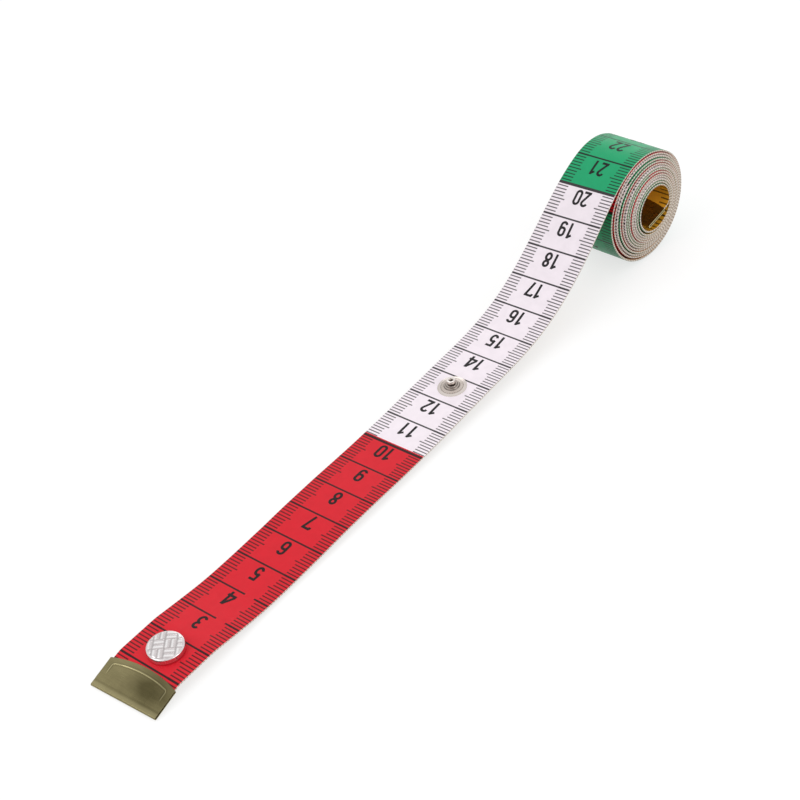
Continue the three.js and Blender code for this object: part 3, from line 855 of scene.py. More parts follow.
    def at(self, reading: np.ndarray) -> tuple[np.ndarray, np.ndarray, np.ndarray]:
        """Line at readings.

        Args:
            reading: Lengths along the tape.

        Returns:
            Points on the middle line, directions across the tape and directions out of its print.
        """
        rows = [np.stack([np.interp(reading, self.reading, table[:, part]) for part in range(3)], axis=-1)
                for table in (self.points, self.across, self.up)]
        for unit in rows[1:]:
            unit /= np.linalg.norm(unit, axis=-1, keepdims=True)
        return rows[0], rows[1], rows[2]

    def lay(self, places: np.ndarray) -> np.ndarray:
        """Points in space of places on the tape.

        Args:
            places: Rows of places across, along and through the tape.

        Returns:
            The points, one row each.
        """
        aside, reading = places[:, 0], places[:, 1]
        point, across, up = self.at(reading)
        bulge = np.interp(reading, self.reading, self.bulge) * (0.5 + 0.5 * aside / HALF_WIDTH)
        return point + across * aside[:, None] + up * (places[:, 2] * self.fullness(reading) + bulge)[:, None]

    def fullness(self, reading: np.ndarray) -> np.ndarray:
        """How much thicker the cloth is than when taut, because it swells where it is wound.

        Args:
            reading: Lengths along the tape.

        Returns:
            The factor at each of them.
        """
        end = self.reading[-1]
        wound = ease(reading, self.leave_reading, self.leave_reading + self.swell_length)
        return 1.0 + (self.swell - 1.0) * wound * ease(reading, end - self.flat_end, end - self.swell_length)

    def seat(self, reading: float) -> Matrix:
        """Placing matrix of a piece that is seated on the tape's middle line at a reading."""
        point, across, up = (row[0] for row in self.at(np.array([reading])))
        return from_columns(across, np.cross(up, across), up, point)

    def spot(self, reading: float) -> tuple[float, ...]:
        """Point of the middle line at a reading, in metres."""
        return tuple((self.at(np.array([reading]))[0][0] * MM).tolist())


@dataclass
class Numerals:
    """Plain narrow figures, each drawn by strokes of one width."""

    height: float = 4.3
    cell: float = 2.1
    advance: float = 2.72
    stroke: float = 0.66
    scale: float = 1.11
    gap: float = 0.86
    spacing: float = 0.3
    above: float = 0.018
    below: float = 0.03
    layer_step: float = 0.003
    least_mitre: float = 0.42
    bow_step: float = 15.0

    def bow(self, x: float, y: float, wide: float, tall: float, start: float, end: float) -> list[Point]:
        """Points of an arc.

        Args:
            x: Its middle across the figure.
            y: Its middle up the figure.
            wide: Half its width.
            tall: Half its height.
            start: First angle in degrees.
            end: Last angle in degrees.

        Returns:
            The points in order.
        """
        count = max(4, int(abs(end - start) / self.bow_step))
        return [(x + wide * math.cos(a), y + tall * math.sin(a))
                for a in np.radians(np.linspace(start, end, count + 1))]

    def strokes(self, digit: int) -> list[tuple[list[Point], bool]]:
        """Strokes of a figure.

        Args:
            digit: Figure from 0 to 9.

        Returns:
            The corners of each stroke, and whether it closes on itself.
        """
        s, tall, cell = self.stroke / 2.0, self.height, self.cell
        mid, wide = cell / 2.0, cell / 2.0 - s
        high, low, top = tall - s - wide, s + wide, tall - s
        if digit == 9:
            return [([(cell - x, tall - y) for x, y in line], closed) for line, closed in self.strokes(6)]
        # Places in millimetres from the lower left corner of the figure
        shapes = {
            0: [(self.bow(mid, high, wide, wide, 0, 180) + self.bow(mid, low, wide, wide, 180, 360), True)],
            1: [([(mid + 0.3, 0.0), (mid + 0.3, tall)], False),
                ([(mid - 0.62, tall - 1.06), (mid + 0.3, tall - 0.3)], False)],
            2: [(self.bow(mid, high, wide, wide, 172, -28) + [(0.34, 0.36)], False),
                ([(0.0, s), (cell, s)], False)],
            3: [(self.bow(mid, 3.16, wide * 0.96, top - 3.16, 152, -86) + [(0.78, 2.37)], False),
                ([(0.78, 2.31)] + self.bow(mid, 1.34, wide * 1.04, 1.34 - s, 86, -152), False)],
            4: [([(1.62, 0.0), (1.62, tall)], False), ([(1.5, tall - 0.1), (0.1, 1.3)], False),
                ([(-0.14, 1.14), (cell + 0.16, 1.14)], False)],
            5: [([(0.32, top), (1.95, top)], False), ([(0.5, tall - 0.1), (0.42, 2.02)], False),
                ([(0.4, 2.0)] + self.bow(mid - 0.02, 1.38, wide, 1.38 - s, 118, -160), False)],
            6: [(self.bow(mid, high, wide, wide, 12, 180) + self.bow(mid, low, wide, wide, 180, 360), False),
                ([(mid + wide, low)] + self.bow(mid, 1.8, wide, wide * 0.92, 0, 160), False)],
            7: [([(-0.16, top), (cell, top)], False), ([(1.78, top), (0.86, 0.0)], False),
                ([(0.0, top), (0.0, top - 0.62)], False)],
            8: [(self.bow(mid, 3.22, wide * 0.9, top - 3.22, 0, 360)[:-1], True),
                (self.bow(mid, 1.25, wide, 1.25 - s, 0, 360)[:-1], True)],
        }
        return shapes[digit]

    def dense(self, line: list[Point], closed: bool) -> np.ndarray:
        """Points of a stroke, no further apart than the spacing.

        Args:
            line: Corners of the stroke.
            closed: Whether it closes on itself.

        Returns:
            The points, one row each.
        """
        ends = line + line[:1] if closed else line
        rows = []
        for (ax, ay), (bx, by) in zip(ends[:-1], ends[1:]):
            count = max(1, math.ceil(math.hypot(bx - ax, by - ay) / self.spacing))
            rows += [(ax + (bx - ax) * k / count, ay + (by - ay) * k / count) for k in range(count)]
        return np.array(rows if closed else rows + [ends[-1]])

    def outline(self, line: np.ndarray, closed: bool) -> np.ndarray:
        """Sides of a stroke, mitred at its corners.

        Args:
            line: Points of the stroke.
            closed: Whether it closes on itself.

        Returns:
            A left and a right point for each of them.
        """
        ahead = np.roll(line, -1, axis=0) - line
        if not closed:
            ahead[-1] = ahead[-2]
        ahead /= np.maximum(np.linalg.norm(ahead, axis=1, keepdims=True), 1e-9)
        behind = np.roll(ahead, 1, axis=0)
        if not closed:
            behind[0] = ahead[0]
        mean = ahead + behind
        mean /= np.maximum(np.linalg.norm(mean, axis=1, keepdims=True), 1e-9)
        stretch = 1.0 / np.maximum((mean * ahead).sum(axis=1, keepdims=True), self.least_mitre)
        aside = np.stack([-mean[:, 1], mean[:, 0]], axis=1) * stretch * self.stroke / 2.0
        return np.stack([line + aside, line - aside], axis=1)

    def draw(self, parts: MeshParts, route: Route, number: int, line_reading: float, side: TapeSide) -> None:
        """Adds a number to a mesh of the tape.

        Args:
            parts: Mesh that is being gathered.
            route: Line that the tape follows.
            number: Number to draw.
            line_reading: Reading of the scale line that the number belongs to.
            side: Side of the tape that carries it.
        """
        digits = [int(figure) for figure in str(number)]
        width = self.advance * (len(digits) - 1) + self.cell * self.scale
        face = 1.0 if side is TapeSide.PRINTED else -1.0
        skin = route.thickness / 2.0
        base = skin - self.below
        for order, digit in enumerate(digits):
            for layer, (stroke, closed) in enumerate(self.strokes(digit)):
                flat = self.outline(self.dense(stroke, closed), closed) * self.scale
                across = width / 2.0 - order * self.advance - flat[:, :, 0]
                along = line_reading - face * (self.gap + flat[:, :, 1])
                top = skin + self.above + self.layer_step * layer
                rows = [np.stack([across[:, edge], along[:, edge], np.full(len(flat), face * level)], axis=1)
                        for edge, level in ((0, top), (1, top), (1, base), (0, base))]
                places = np.stack(rows, axis=1).reshape(-1, 3)
                faces = tube_faces(len(flat), 4, closed)
                parts.add(route.lay(places), faces, int(TapeSide.INK), places)


def tube_faces(rings: int, around: int, closed: bool) -> list[list[int]]:
    """Faces of a tube of rings of points, joined end to end or capped.

    Args:
        rings: Number of rings.
        around: Points in each ring.
        closed: Whether the last ring meets the first.

    Returns:
        Faces as numbers of points, ring after ring.
    """
    faces = []
    for ring in range(rings if closed else rings - 1):
        base, after = ring * around, ((ring + 1) % rings) * around
        for k in range(around):
            follow = (k + 1) % around
            faces.append([base + k, base + follow, after + follow, after + k])
    if not closed:
        last = (rings - 1) * around
        faces += [list(range(around)), list(range(last, last + around))]
    return faces


@dataclass(frozen=True)
class Stretch:
    """One length of the tape: where it runs, what moves it and which solids it stands for."""

    name: str
    start: float
    end: float
    slot: str
    held: str
    stands_for: tuple[str, ...]
    bodies: tuple[str, ...]
    bend: Optional[Point] = None
    hole: Optional[Point] = None


@dataclass
class Tape:
    """The printed strip, made as separate lengths, three of which span the joints of the free run."""

    route: Route
    finish: TapeFinish = TapeFinish()
    numerals: Numerals = field(default_factory=Numerals)
    corner: float = 0.11
    corner_steps: int = 3
    edge_band: float = 0.15
    inner_line: float = 5.0
    step: float = 0.5
    # Readings at which the free run is divided, those of its hinges, and how far each bend reaches
    cuts: tuple[float, ...] = (30.0, 80.0, 120.0, 170.0)
    hinges: tuple[float, ...] = (50.0, 100.0, 150.0)
    hinge_reach: float = 12.0
    # Turned angles in degrees between which the winding passes from the outer turn to the inner ones
    split: Point = (306.0, 486.0)
    cap_hole: float = 1.65
    stud_hole: float = 0.75
    hole_steps: int = 48
    hole_slack: float = 0.01
    punch_reach: float = 1.0
    hidden_numbers: tuple[int, ...] = (1, 2, 13)
    last_printed: int = 36
    hidden_inches: tuple[int, ...] = (47,)
    last_inch_in_bore: int = 3
    # How far a scale line stands inside the two ends of the length that carries its number
    printed_room: Point = (1.0, -0.5)
    inch_room: Point = (-0.5, 6.0)

    def stretches(self) -> list[Stretch]:
        """Divides the tape.

        Returns:
            Its lengths, from its tip to the bore.
        """
        tip, red, white, rise = self.cuts
        first, last = (self.route.reading_at(turned) for turned in self.split)
        end = float(self.route.reading[-1])
        bends = [(hinge - self.hinge_reach, hinge + self.hinge_reach) for hinge in self.hinges]
        outer, inner = "tape_rise_and_outer_turn", "tape_core_winding"
        return [
            Stretch("tape_tip", self.route.clip_half, tip, "tape_red", "laid", ("tape_free_end",),
                    ("free_end",), hole=(self.route.cap_reading, self.cap_hole)),
            Stretch("tape_bend_5cm", tip, red, "tape_red", "laid", ("tape_free_end", "tape_red_run"),
                    ("free_end", "red_run"), bend=bends[0]),
            Stretch("tape_bend_10cm", red, white, "tape_white", "laid", ("tape_red_run", "tape_white_run"),
                    ("red_run", "white_run"), bend=bends[1]),
            Stretch("tape_bend_15cm", white, rise, "tape_white", "laid", ("tape_white_run", outer),
                    ("white_run", "roll"), bend=bends[2], hole=(self.route.stud_reading, self.stud_hole)),
            Stretch("tape_outer_turn", rise, first, "tape_green", "folded", (outer,), ("roll",)),
            Stretch("tape_split_turn", first, last, "tape_green", "folded", (outer, inner),
                    ("roll", "core"), bend=(first, last)),
            Stretch("tape_inner_turns", last, end, "tape_core", "folded", (inner,), ("core",)),
        ]

    def section(self) -> tuple[np.ndarray, list[int]]:
        """Cross-section of the tape, with rounded corners.

        Returns:
            Rows of places across and through it, and the side that each part of it is on.
        """
        half, r = self.route.thickness / 2.0, self.corner
        wide = HALF_WIDTH - r
        band = wide - self.edge_band
        flat = [band, self.inner_line, 0.0, -self.inner_line, -band]
        rows, sides = [], []
        for (x, z), first in (((wide, half - r), 0.0), ((-wide, half - r), 90.0),
                              ((-wide, r - half), 180.0), ((wide, r - half), 270.0)):
            arc = np.radians(first + np.linspace(0.0, 90.0, self.corner_steps + 1))
            rows += [(x + r * math.cos(a), z + r * math.sin(a)) for a in arc]
            sides += [TapeSide.CUT_EDGE] * self.corner_steps
            if first in (0.0, 180.0):
                top = first == 0.0
                rows += [(x_flat if top else -x_flat, half if top else -half) for x_flat in flat]
                sides += [TapeSide.PRINTED if top else TapeSide.REVERSE] * (len(flat) + 1)
            else:
                sides += [TapeSide.CUT_EDGE]
        return np.array(rows), [int(side) for side in sides]

    def strip(self, stretch: Stretch) -> MeshParts:
        """Closed strip of a length of the tape.

        Args:
            stretch: The length.

        Returns:
            Its mesh.
        """
        section, sides = self.section()
        count = max(2, round((stretch.end - stretch.start) / self.step))
        readings = np.linspace(stretch.start, stretch.end, count + 1)
        places = np.empty((count + 1, len(section), 3))
        places[:, :, 0], places[:, :, 2] = section[:, 0], section[:, 1]
        places[:, :, 1] = readings[:, None]
        places = places.reshape(-1, 3)
        faces = tube_faces(count + 1, len(section), False)
        sides = sides * count + [int(TapeSide.CUT_EDGE)] * 2
        return MeshParts().add(self.route.lay(places), faces, sides, places)

    def punched(self, parts: MeshParts, stretch: Stretch) -> MeshParts:
        """Strip with a round hole cut through it for the closure.

        Args:
            parts: The whole strip.
            stretch: The length, with the reading and radius of its hole.

        Returns:
            The strip with the hole.
        """
        reading, radius = stretch.hole
        blank = parts.object("blank", [])
        around = np.linspace(0.0, TURN, self.hole_steps, endpoint=False)
        circle = radius * np.column_stack([np.cos(around), np.sin(around)])
        rings = [np.column_stack([circle, np.full(len(around), level)])
                 for level in (-self.punch_reach, self.punch_reach)]
        cutter = MeshParts().add(np.concatenate(rings), tube_faces(2, len(around), False), 0)
        punch = cutter.object("punch", [])
        seat = self.route.seat(reading)
        seat.translation *= MM
        punch.matrix_world = seat
        cut = blank.modifiers.new("hole", "BOOLEAN")
        cut.operation, cut.solver, cut.object = "DIFFERENCE", "EXACT", punch
        mesh = blank.evaluated_get(bpy.context.evaluated_depsgraph_get()).to_mesh()
        points = np.array([vertex.co for vertex in mesh.vertices]) / MM
        faces = [list(polygon.vertices) for polygon in mesh.polygons]
        sides = [polygon.material_index for polygon in mesh.polygons]
        places = np.empty(len(points) * 3, np.float32)
        mesh.attributes[PLACE].data.foreach_get("vector", places)
        places = places.reshape(-1, 3).astype(float)
        local = (points - np.array(seat.translation) / MM) @ np.array(seat.to_3x3())
        rim = np.hypot(local[:, 0], local[:, 1]) < radius + self.hole_slack
        places[rim] = local[rim] + np.array([0.0, reading, 0.0])
        sides = [int(TapeSide.CUT_EDGE) if rim[face].all() else side for face, side in zip(faces, sides)]
        for made in (blank, punch):
            bpy.data.objects.remove(made)
        return MeshParts().add(points, faces, sides, places)

    def number(self, parts: MeshParts, stretch: Stretch) -> None:
        """Adds the numbers of both scales that lie on a length and can be seen.

        Args:
            parts: Mesh of the length.
            stretch: The length.
        """
        start, end = stretch.start + self.printed_room[0], stretch.end - self.printed_room[1]
        for number in range(1, self.last_printed):
            reading = number * self.finish.marks.line_unit
            if number not in self.hidden_numbers and start < reading <= end:
                self.numerals.draw(parts, self.route, number, reading, TapeSide.PRINTED)
        start, end = stretch.start + self.inch_room[0], stretch.end - self.inch_room[1]
        last, free = int(self.finish.length / INCH), math.ceil(self.route.leave_reading / INCH)
        for number in (*range(1, self.last_inch_in_bore + 1), *range(last - free, last + 1)):
            reading = self.finish.length - number * INCH
            if number not in self.hidden_inches and start <= reading < end:
                self.numerals.draw(parts, self.route, number, reading, TapeSide.REVERSE)

    def build(self) -> list[bpy.types.Object]:
        """Makes every length of the tape, and ties each length without a bend to the body that moves it.

        Returns:
            The lengths, from the tip to the bore.
        """
        materials = self.finish.materials()
        made = []
        for stretch in self.stretches():
            parts = self.strip(stretch)
            if stretch.hole:
                parts = self.punched(parts, stretch)
            self.number(parts, stretch)
            piece = parts.object(stretch.name, materials)
            if stretch.bend:
                start, end = (self.route.spot(reading) for reading in stretch.bend)
                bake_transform(piece)
            else:
                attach(piece, stretch.bodies[0])
            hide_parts(*stretch.stands_for)
            made.append(piece)
        return made


@dataclass
class EndClip:
    """Brass sheet folded over an end of the tape, with a curved back edge and an embossed border."""

    name: str
    node: str
    body: str
    seat: Matrix
    width: float = 20.5
    length: float = 9.5
    side_length: float = 7.9
    sheet: float = 0.22
    half: float = 0.45
    border_side: float = 1.75
    border_back: float = 1.55
    border_start: float = 3.6
    border_corner: float = 0.9
    bead: float = 0.10
    bead_width: float = 0.14
    border_fade: float = 1.6
    # Painted highlight along the border's bead, fading to the right, and painted shadow beside the bead
    border_shine: Point = (0.62, 0.022)
    shine_width: float = 0.11
    shadow_place: Point = (0.27, 0.12)
    shadow_tint: Point = (0.6, 0.35)
    lip: float = 0.05
    lip_place: Point = (1.7, 0.4)
    # Painted shade along a line behind the lip, and a painted highlight on the fold
    groove: float = 0.22
    groove_place: Point = (1.75, 0.3)
    fold_shine: float = 0.22
    fold_band: Point = (1.5, 0.9)
    wave_band: Point = (0.7, 1.6)
    # Painted shade: a darker spot on the plate and darker towards the right side
    dull_spot: float = 0.8
    dull_across: Point = (4.2, 5.0)
    dull_along: Point = (4.9, 3.4)
    dull_side: float = 0.25
    dull_side_band: Point = (-2.0, 9.0)
    # Painted highlight on the sheet's two side edges
    bright_ends: float = 0.0
    edge_break: float = 0.06
    columns: int = 140
    rows: int = 52
    fold_steps: int = 13

    def back(self, across: np.ndarray) -> np.ndarray:
        """Length of the plates, whose back edge is an arc.

        Args:
            across: Distances from the middle.

        Returns:
            The length at each of them.
        """
        rise = self.length - self.side_length
        radius = ((self.width / 2.0) ** 2 + rise ** 2) / (2.0 * rise)
        return self.length - radius + np.sqrt(radius ** 2 - np.asarray(across) ** 2)

    def border(self) -> np.ndarray:
        """Line of the embossed border, from one leg over the back to the other.

        Returns:
            Rows of a place across, a place along and the border's strength there.
        """
        side = self.width / 2.0 - self.border_side
        corner = self.border_corner
        top = float(self.back(side - corner)) - self.border_back
        leg = [(-side, y) for y in np.linspace(self.border_start, top - corner, 40)]
        turn = [(-side + corner - corner * math.cos(a), top - corner + corner * math.sin(a))
                for a in np.linspace(0.0, math.pi / 2.0, 16)]
        back = [(x, float(self.back(x)) - self.border_back) for x in np.linspace(-side + corner, 0.0, 80)]
        half = np.array(leg + turn + back)
        path = np.vstack([half, (half * np.array([-1.0, 1.0]))[::-1]])
        strength = ease(path[:, 1], self.border_start, self.border_start + self.border_fade)
        return np.column_stack([path, strength])

    def relief(self, x: np.ndarray, y: np.ndarray) -> tuple[np.ndarray, np.ndarray]:
        """Embossing, rolled lip and slight unevenness of the sheet, and where light and shade are painted on
        it.

        Args:
            x: Places across the clip.
            y: Places along it from its fold.

        Returns:
            Heights, and marks of painted highlights, painted darker areas and painted shade.
        """
        path = self.border()
        apart = np.hypot(x[..., None] - path[:, 0], y[..., None] - path[:, 1])
        nearest = apart.argmin(axis=-1)
        distance = np.take_along_axis(apart, nearest[..., None], axis=-1)[..., 0]
        strength = path[nearest, 2]
        bead = self.bead * strength * bell(distance, 0.0, self.bead_width)
        lip = -self.lip * bell(y, *self.lip_place)
        # Slow waves, as in sheet that was pressed by hand
        wave = 0.008 * np.sin(0.55 * x + 0.8) * np.sin(0.9 * y + 0.3) + 0.003 * np.sin(1.3 * x - 0.7 * y)
        inside = (y < self.back(x) - self.border_back) & (np.abs(x) < self.width / 2.0 - self.border_side)
        # Painted shadow beside the bead
        shadow = strength * bell(distance, *self.shadow_place) * np.where(inside, *self.shadow_tint)
        # Painted shade along a line behind the lip
        groove = self.groove * bell(y, *self.groove_place)
        # Painted highlight along the bead, fading to the right
        shine, fade = self.border_shine
        wear_and_shine = strength * bell(distance, 0.0, self.shine_width) * (shine - fade * x)
        # Painted highlights on the bead and on the fold
        crest = np.maximum(wear_and_shine, self.fold_shine * ease(y, *self.fold_band))
        # Painted shade: a darker spot and darker towards the right side
        dull = self.dull_spot * bell(x, *self.dull_across) * bell(y, *self.dull_along)
        dull = dull + self.dull_side * ease(x, *self.dull_side_band)
        marks = np.stack([crest, dull, shadow + groove], axis=-1)
        return bead + lip + wave * ease(y, *self.wave_band), marks

    def build(self, metal: bpy.types.Material) -> bpy.types.Object:
        """Makes the clip, seats it and lets it stand for its solid.

        Args:
            metal: Its material.

        Returns:
            The finished clip.
        """
        inner = self.half - self.sheet
        across = np.linspace(-self.width / 2.0, self.width / 2.0, self.columns + 1)
        reach = self.back(across)
        rings, painted_lights = [], []
        arc = np.radians(np.linspace(90.0, 270.0, self.fold_steps))[1:-1]
        shares = np.linspace(1.0, 0.0, self.rows)
        low = np.linspace(0.0, 1.0, self.rows)
        for x, end in zip(across, reach):
            y = self.half + shares * (end - self.half)
            height, marks = self.relief(np.full(self.rows, x), y)
            top = np.column_stack([y, self.half + height])
            fold = np.column_stack([self.half + self.half * np.cos(arc), self.half * np.sin(arc)])
            under = np.column_stack([self.half + low * (end - self.half), np.full(self.rows, -self.half)])
            inside = [under * [1.0, inner / self.half], fold * inner / self.half + [self.half - inner, 0.0],
                      np.column_stack([y, np.full(self.rows, inner)])]
            loop = np.vstack([top, fold, under] + [part[::-1] for part in inside])
            rings.append(np.column_stack([np.full(len(loop), x), loop]))
            painted_lights.append(np.vstack([marks, np.zeros((len(loop) - self.rows, 3))]))
        # Painted highlight on the sheet's two side edges
        for end in (painted_lights[0], painted_lights[-1]):
            end[:, 0] = np.maximum(end[:, 0], self.bright_ends)
        around = len(rings[0])
        half_way = around // 2
        faces = tube_faces(len(rings), around, False)[:-2]
        for base in (0, (len(rings) - 1) * around):
            faces += [[base + k, base + k + 1, base + around - 2 - k, base + around - 1 - k]
                      for k in range(half_way - 1)]
        parts = MeshParts().add(np.vstack(rings), faces, 0, np.vstack(painted_lights))
        return seat_piece(parts, self.name, metal, self.seat, self.body, "clip_brass", self.node,
                          bevel=self.edge_break)


def seat_piece(parts: MeshParts, name: str, metal: bpy.types.Material, seat: Matrix, body: str, slot: str,
               node: str, bevel: float = 0.0) -> bpy.types.Object:
    """Makes a metal piece and ties it to its body.

    Args:
        parts: Its mesh, in its own frame.
        name: Name of the piece.
        metal: Its material.
        seat: Where it is placed, in millimetres.
        body: Body that it moves with.
        slot: Material slot of the record; not used.
        node: Solid that it stands for.
        bevel: Width by which sharp edges are broken.

    Returns:
        The finished piece.
    """
    table = np.array(seat)
    parts.points = [points @ table[:3, :3].T + table[:3, 3] for points in parts.points]
    piece = parts.object(name, [metal], crease=METAL_CREASE)
    if bevel:
        wear_and_shine = piece.modifiers.new("worn_edges", "BEVEL")
        wear_and_shine.width, wear_and_shine.segments, wear_and_shine.limit_method = bevel * MM, 2, "ANGLE"
        wear_and_shine.angle_limit = math.radians(BEVEL_ANGLE)
        mesh = bpy.data.meshes.new_from_object(piece.evaluated_get(bpy.context.evaluated_depsgraph_get()))
        piece.modifiers.clear()
        piece.data = mesh
        finish_mesh(mesh, METAL_CREASE)
    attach(piece, body)
    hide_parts(node)
    return piece


def rounded(outline: Sequence[Point], radius: float, axial: bool, steps: int = 5,
            most: float = 0.45) -> list[Point]:
    """Outline of radius and height points with its corners rounded off.

    Args:
        outline: Corners, in order.
        radius: How far along each edge a corner is rounded, at most.
        axial: Whether the outline starts and ends on the axis, or closes on itself.
        steps: Parts of each rounding.
        most: Largest share of an edge that one rounding takes.

    Returns:
        The finer outline.
    """
    corners = [np.array(corner, float) for corner in outline]
    count, rows = len(corners), []
    for k, corner in enumerate(corners):
        if axial and k in (0, count - 1):
            rows.append(corner)
            continue
        before, after = corners[k - 1] - corner, corners[(k + 1) % count] - corner
        spans = [np.linalg.norm(before), np.linalg.norm(after)]
        start, end = (corner + edge / span * min(radius, most * span)
                      for edge, span in zip((before, after), spans))
        for t in np.linspace(0.0, 1.0, steps + 1):
            rows.append((1 - t) ** 2 * start + 2 * t * (1 - t) * corner + t * t * end)
    return [(float(r), float(z)) for r, z in rows]


def revolve(outline: Sequence[Point], axial: bool, segments: int,
            relief: Optional[Shaping] = None, tint: Optional[Shaping] = None) -> MeshParts:
    """Round solid about its own upright axis.

    Args:
        outline: Radius and height points.
        axial: Whether the outline starts and ends on the axis, or closes on itself.
        segments: Steps round the axis.
        relief: Height to add at a place across, along and at a height.
        tint: Marks of painted highlight, painted darker areas and painted shade at such a place.

    Returns:
        The closed shell.
    """
    angles = np.linspace(0.0, TURN, segments, endpoint=False)
    rows = list(outline[1:-1]) if axial else list(outline)
    points = np.array([(r * math.cos(a), r * math.sin(a), z) for a in angles for r, z in rows])
    faces = tube_faces(segments, len(rows), True)
    if axial:
        faces = [face for face in faces if abs(face[0] - face[1]) == 1]
        first, last = len(points), len(points) + 1
        points = np.vstack([points, [(0.0, 0.0, outline[0][1]), (0.0, 0.0, outline[-1][1])]])
        for k in range(segments):
            here, after = k * len(rows), ((k + 1) % segments) * len(rows)
            faces += [[first, here, after], [last, here + len(rows) - 1, after + len(rows) - 1]]
    painted_lights = None if tint is None else tint(points[:, 0], points[:, 1], points[:, 2])
    if relief is not None:
        points[:, 2] += relief(points[:, 0], points[:, 1], points[:, 2])
    return MeshParts().add(points, faces, 0, painted_lights)


@dataclass
class PressStud:
    """The closure: cap, post, socket and spring wires near the tip, stud and eyelet further on."""

    route: Route
    seat: float = 0.29
    gap: float = 0.1
    sheet: float = 0.32
    cap_radius: float = 4.64
    cap_height: float = 1.7
    cap_lip: float = 0.9
    cap_crown: float = 0.16
    cap_rounding: float = 0.34
    cap_rings: int = 74
    cap_segments: int = 256
    top_band: float = 0.02
    post_radius: float = 1.45
    post_bore: float = 0.95
    post_flare: float = 0.6
    hole_clearance: float = 0.2
    socket_radius: float = 4.6
    socket_mouth: float = 1.55
    wire_radius: float = 0.22
    wire_offset: float = 1.27
    wire_travel: float = 0.3
    stud_outline: tuple[Point, ...] = (
        (4.07, 0.22), (4.07, 0.28), (3.3, 0.46), (3.1, 0.54), (2.2, 0.76), (2.06, 0.84), (2.06, 1.08),
        (1.62, 1.13), (1.5, 1.2), (1.5, 1.43), (1.04, 1.5), (0.95, 1.6), (0.95, 1.86), (1.27, 2.02),
        (1.27, 2.48), (1.1, 2.61),
    )
    stud_teeth: int = 28
    tooth_depth: float = 0.03
    tooth_place: Point = (3.1, 0.1)
    stud_ripple: float = 0.012
    ripple_pitch: float = 0.21
    ripple_start: Point = (2.2, 2.4)
    ripple_end: Point = (3.3, 3.1)
    # Heights over the tape above which the teeth and the ripple show, and the finer rings of the disc
    tooth_base: float = 0.3
    disc_base: float = 0.4
    disc_inner: float = 2.1
    disc_step: float = 0.05
    # Painted shade at the neck and at the foot of each step: heights and radius of the neck, and strength,
    # radius and width of each step's foot
    neck_start: Point = (1.4, 1.55)
    neck_end: Point = (2.1, 1.95)
    neck_radius: float = 1.2
    step_marks: tuple[tuple[float, float, float], ...] = ((0.85, 1.62, 0.12), (0.75, 2.14, 0.13))
    step_heights: Point = (0.6, 1.47)
    # Painted shade in the dents round the disc: mean and swing round it, then radius and width
    dent_tint: Point = (0.35, 0.2)
    dent_place: Point = (3.08, 0.09)
    # Painted highlight on the flange: strength, and the radii over which it starts
    flange_shine: float = 0.4
    flange_start: Point = (3.2, 3.32)
    eyelet_flange: float = 3.9
    eyelet_crown: Point = (2.4, 0.3)
    eyelet_radius: float = 0.55
    eyelet_bore: float = 0.26
    eyelet_mouth: float = 0.66
    eyelet_rim: float = 1.2
    eyelet_top: float = 2.84
    eyelet_funnel: float = 0.75
    eyelet_bevel: Point = (0.1, 0.12)
    # Painted highlight on the eyelet's rim: drops below its top, and the radius where it ends
    eyelet_shine: Point = (0.24, 0.1)
    eyelet_shine_end: float = 0.7
    weave_cell: float = 2.85
    weave_turn: float = 38.0
    weave_start: Point = (1.063, 0.368)
    weave_height: float = 0.15
    weave_reach: float = 4.25
    weave_fade: float = 0.25
    tint_fade: Point = (0.1, 0.15)
    bar_end: float = 0.15
    bar_power: float = 2.6
    # Place and width of the painted highlight line across each bar, and strengths of the painted highlight,
    # the painted shade on the bars and the painted shade between them
    worn_line: Point = (0.36, 0.17)
    cap_marks: tuple[float, float, float] = (0.9, 0.5, 0.4)

    def bars(self, x: np.ndarray, y: np.ndarray) -> tuple[np.ndarray, np.ndarray]:
        """Woven bars of the cap's top.

        Args:
            x: Places across the cap.
            y: Places along it.

        Returns:
            Share of the bars' full height, and strength of the painted highlight line along each bar.
        """
        turn = math.radians(self.weave_turn)
        u = (x * math.cos(turn) + y * math.sin(turn)) / self.weave_cell + self.weave_start[0]
        v = (y * math.cos(turn) - x * math.sin(turn)) / self.weave_cell + self.weave_start[1]
        level = (np.floor(u) + np.floor(v)) % 2 == 0
        along, beside = np.where(level, u, v) % 1.0, np.where(level, v, u) * 2.0 % 1.0
        dive = ease(np.minimum(along, 1.0 - along), 0.0, self.bar_end)
        bar = 1.0 - np.abs((beside - 0.5) / 0.5) ** self.bar_power
        return bar * dive, dive * bell(beside, *self.worn_line)

    def weave(self, x: np.ndarray, y: np.ndarray, z: np.ndarray) -> np.ndarray:
        """Woven pattern and slight crown of the cap's top.

        Args:
            x: Places across the tape.
            y: Places along it.
            z: Heights over its middle.

        Returns:
            Heights to add.
        """
        radius = np.hypot(x, y)
        crown = self.cap_crown * np.clip(1.0 - (radius / self.cap_radius) ** 2, 0.0, 1.0)
        within = ease(radius, self.weave_reach, self.weave_reach - self.weave_fade)
        bars = self.weave_height * self.bars(x, y)[0] * within
        return np.where(z > self.seat + self.cap_height - self.top_band, crown + bars, 0.0)

    def cap_tint(self, x: np.ndarray, y: np.ndarray, z: np.ndarray) -> np.ndarray:
        """Painted highlight lines along the cap's bars, painted shade on the rest of the bars, and stronger
        painted shade between them.

        Args:
            x: Places across the tape.
            y: Places along it.
            z: Heights over its middle.

        Returns:
            Marks of painted highlight, painted darker areas and painted shade in recesses.
        """
        start, end = self.weave_reach + self.tint_fade[0], self.weave_reach - self.tint_fade[1]
        within = ease(np.hypot(x, y), start, end) * (z > self.seat + self.cap_height - self.top_band)
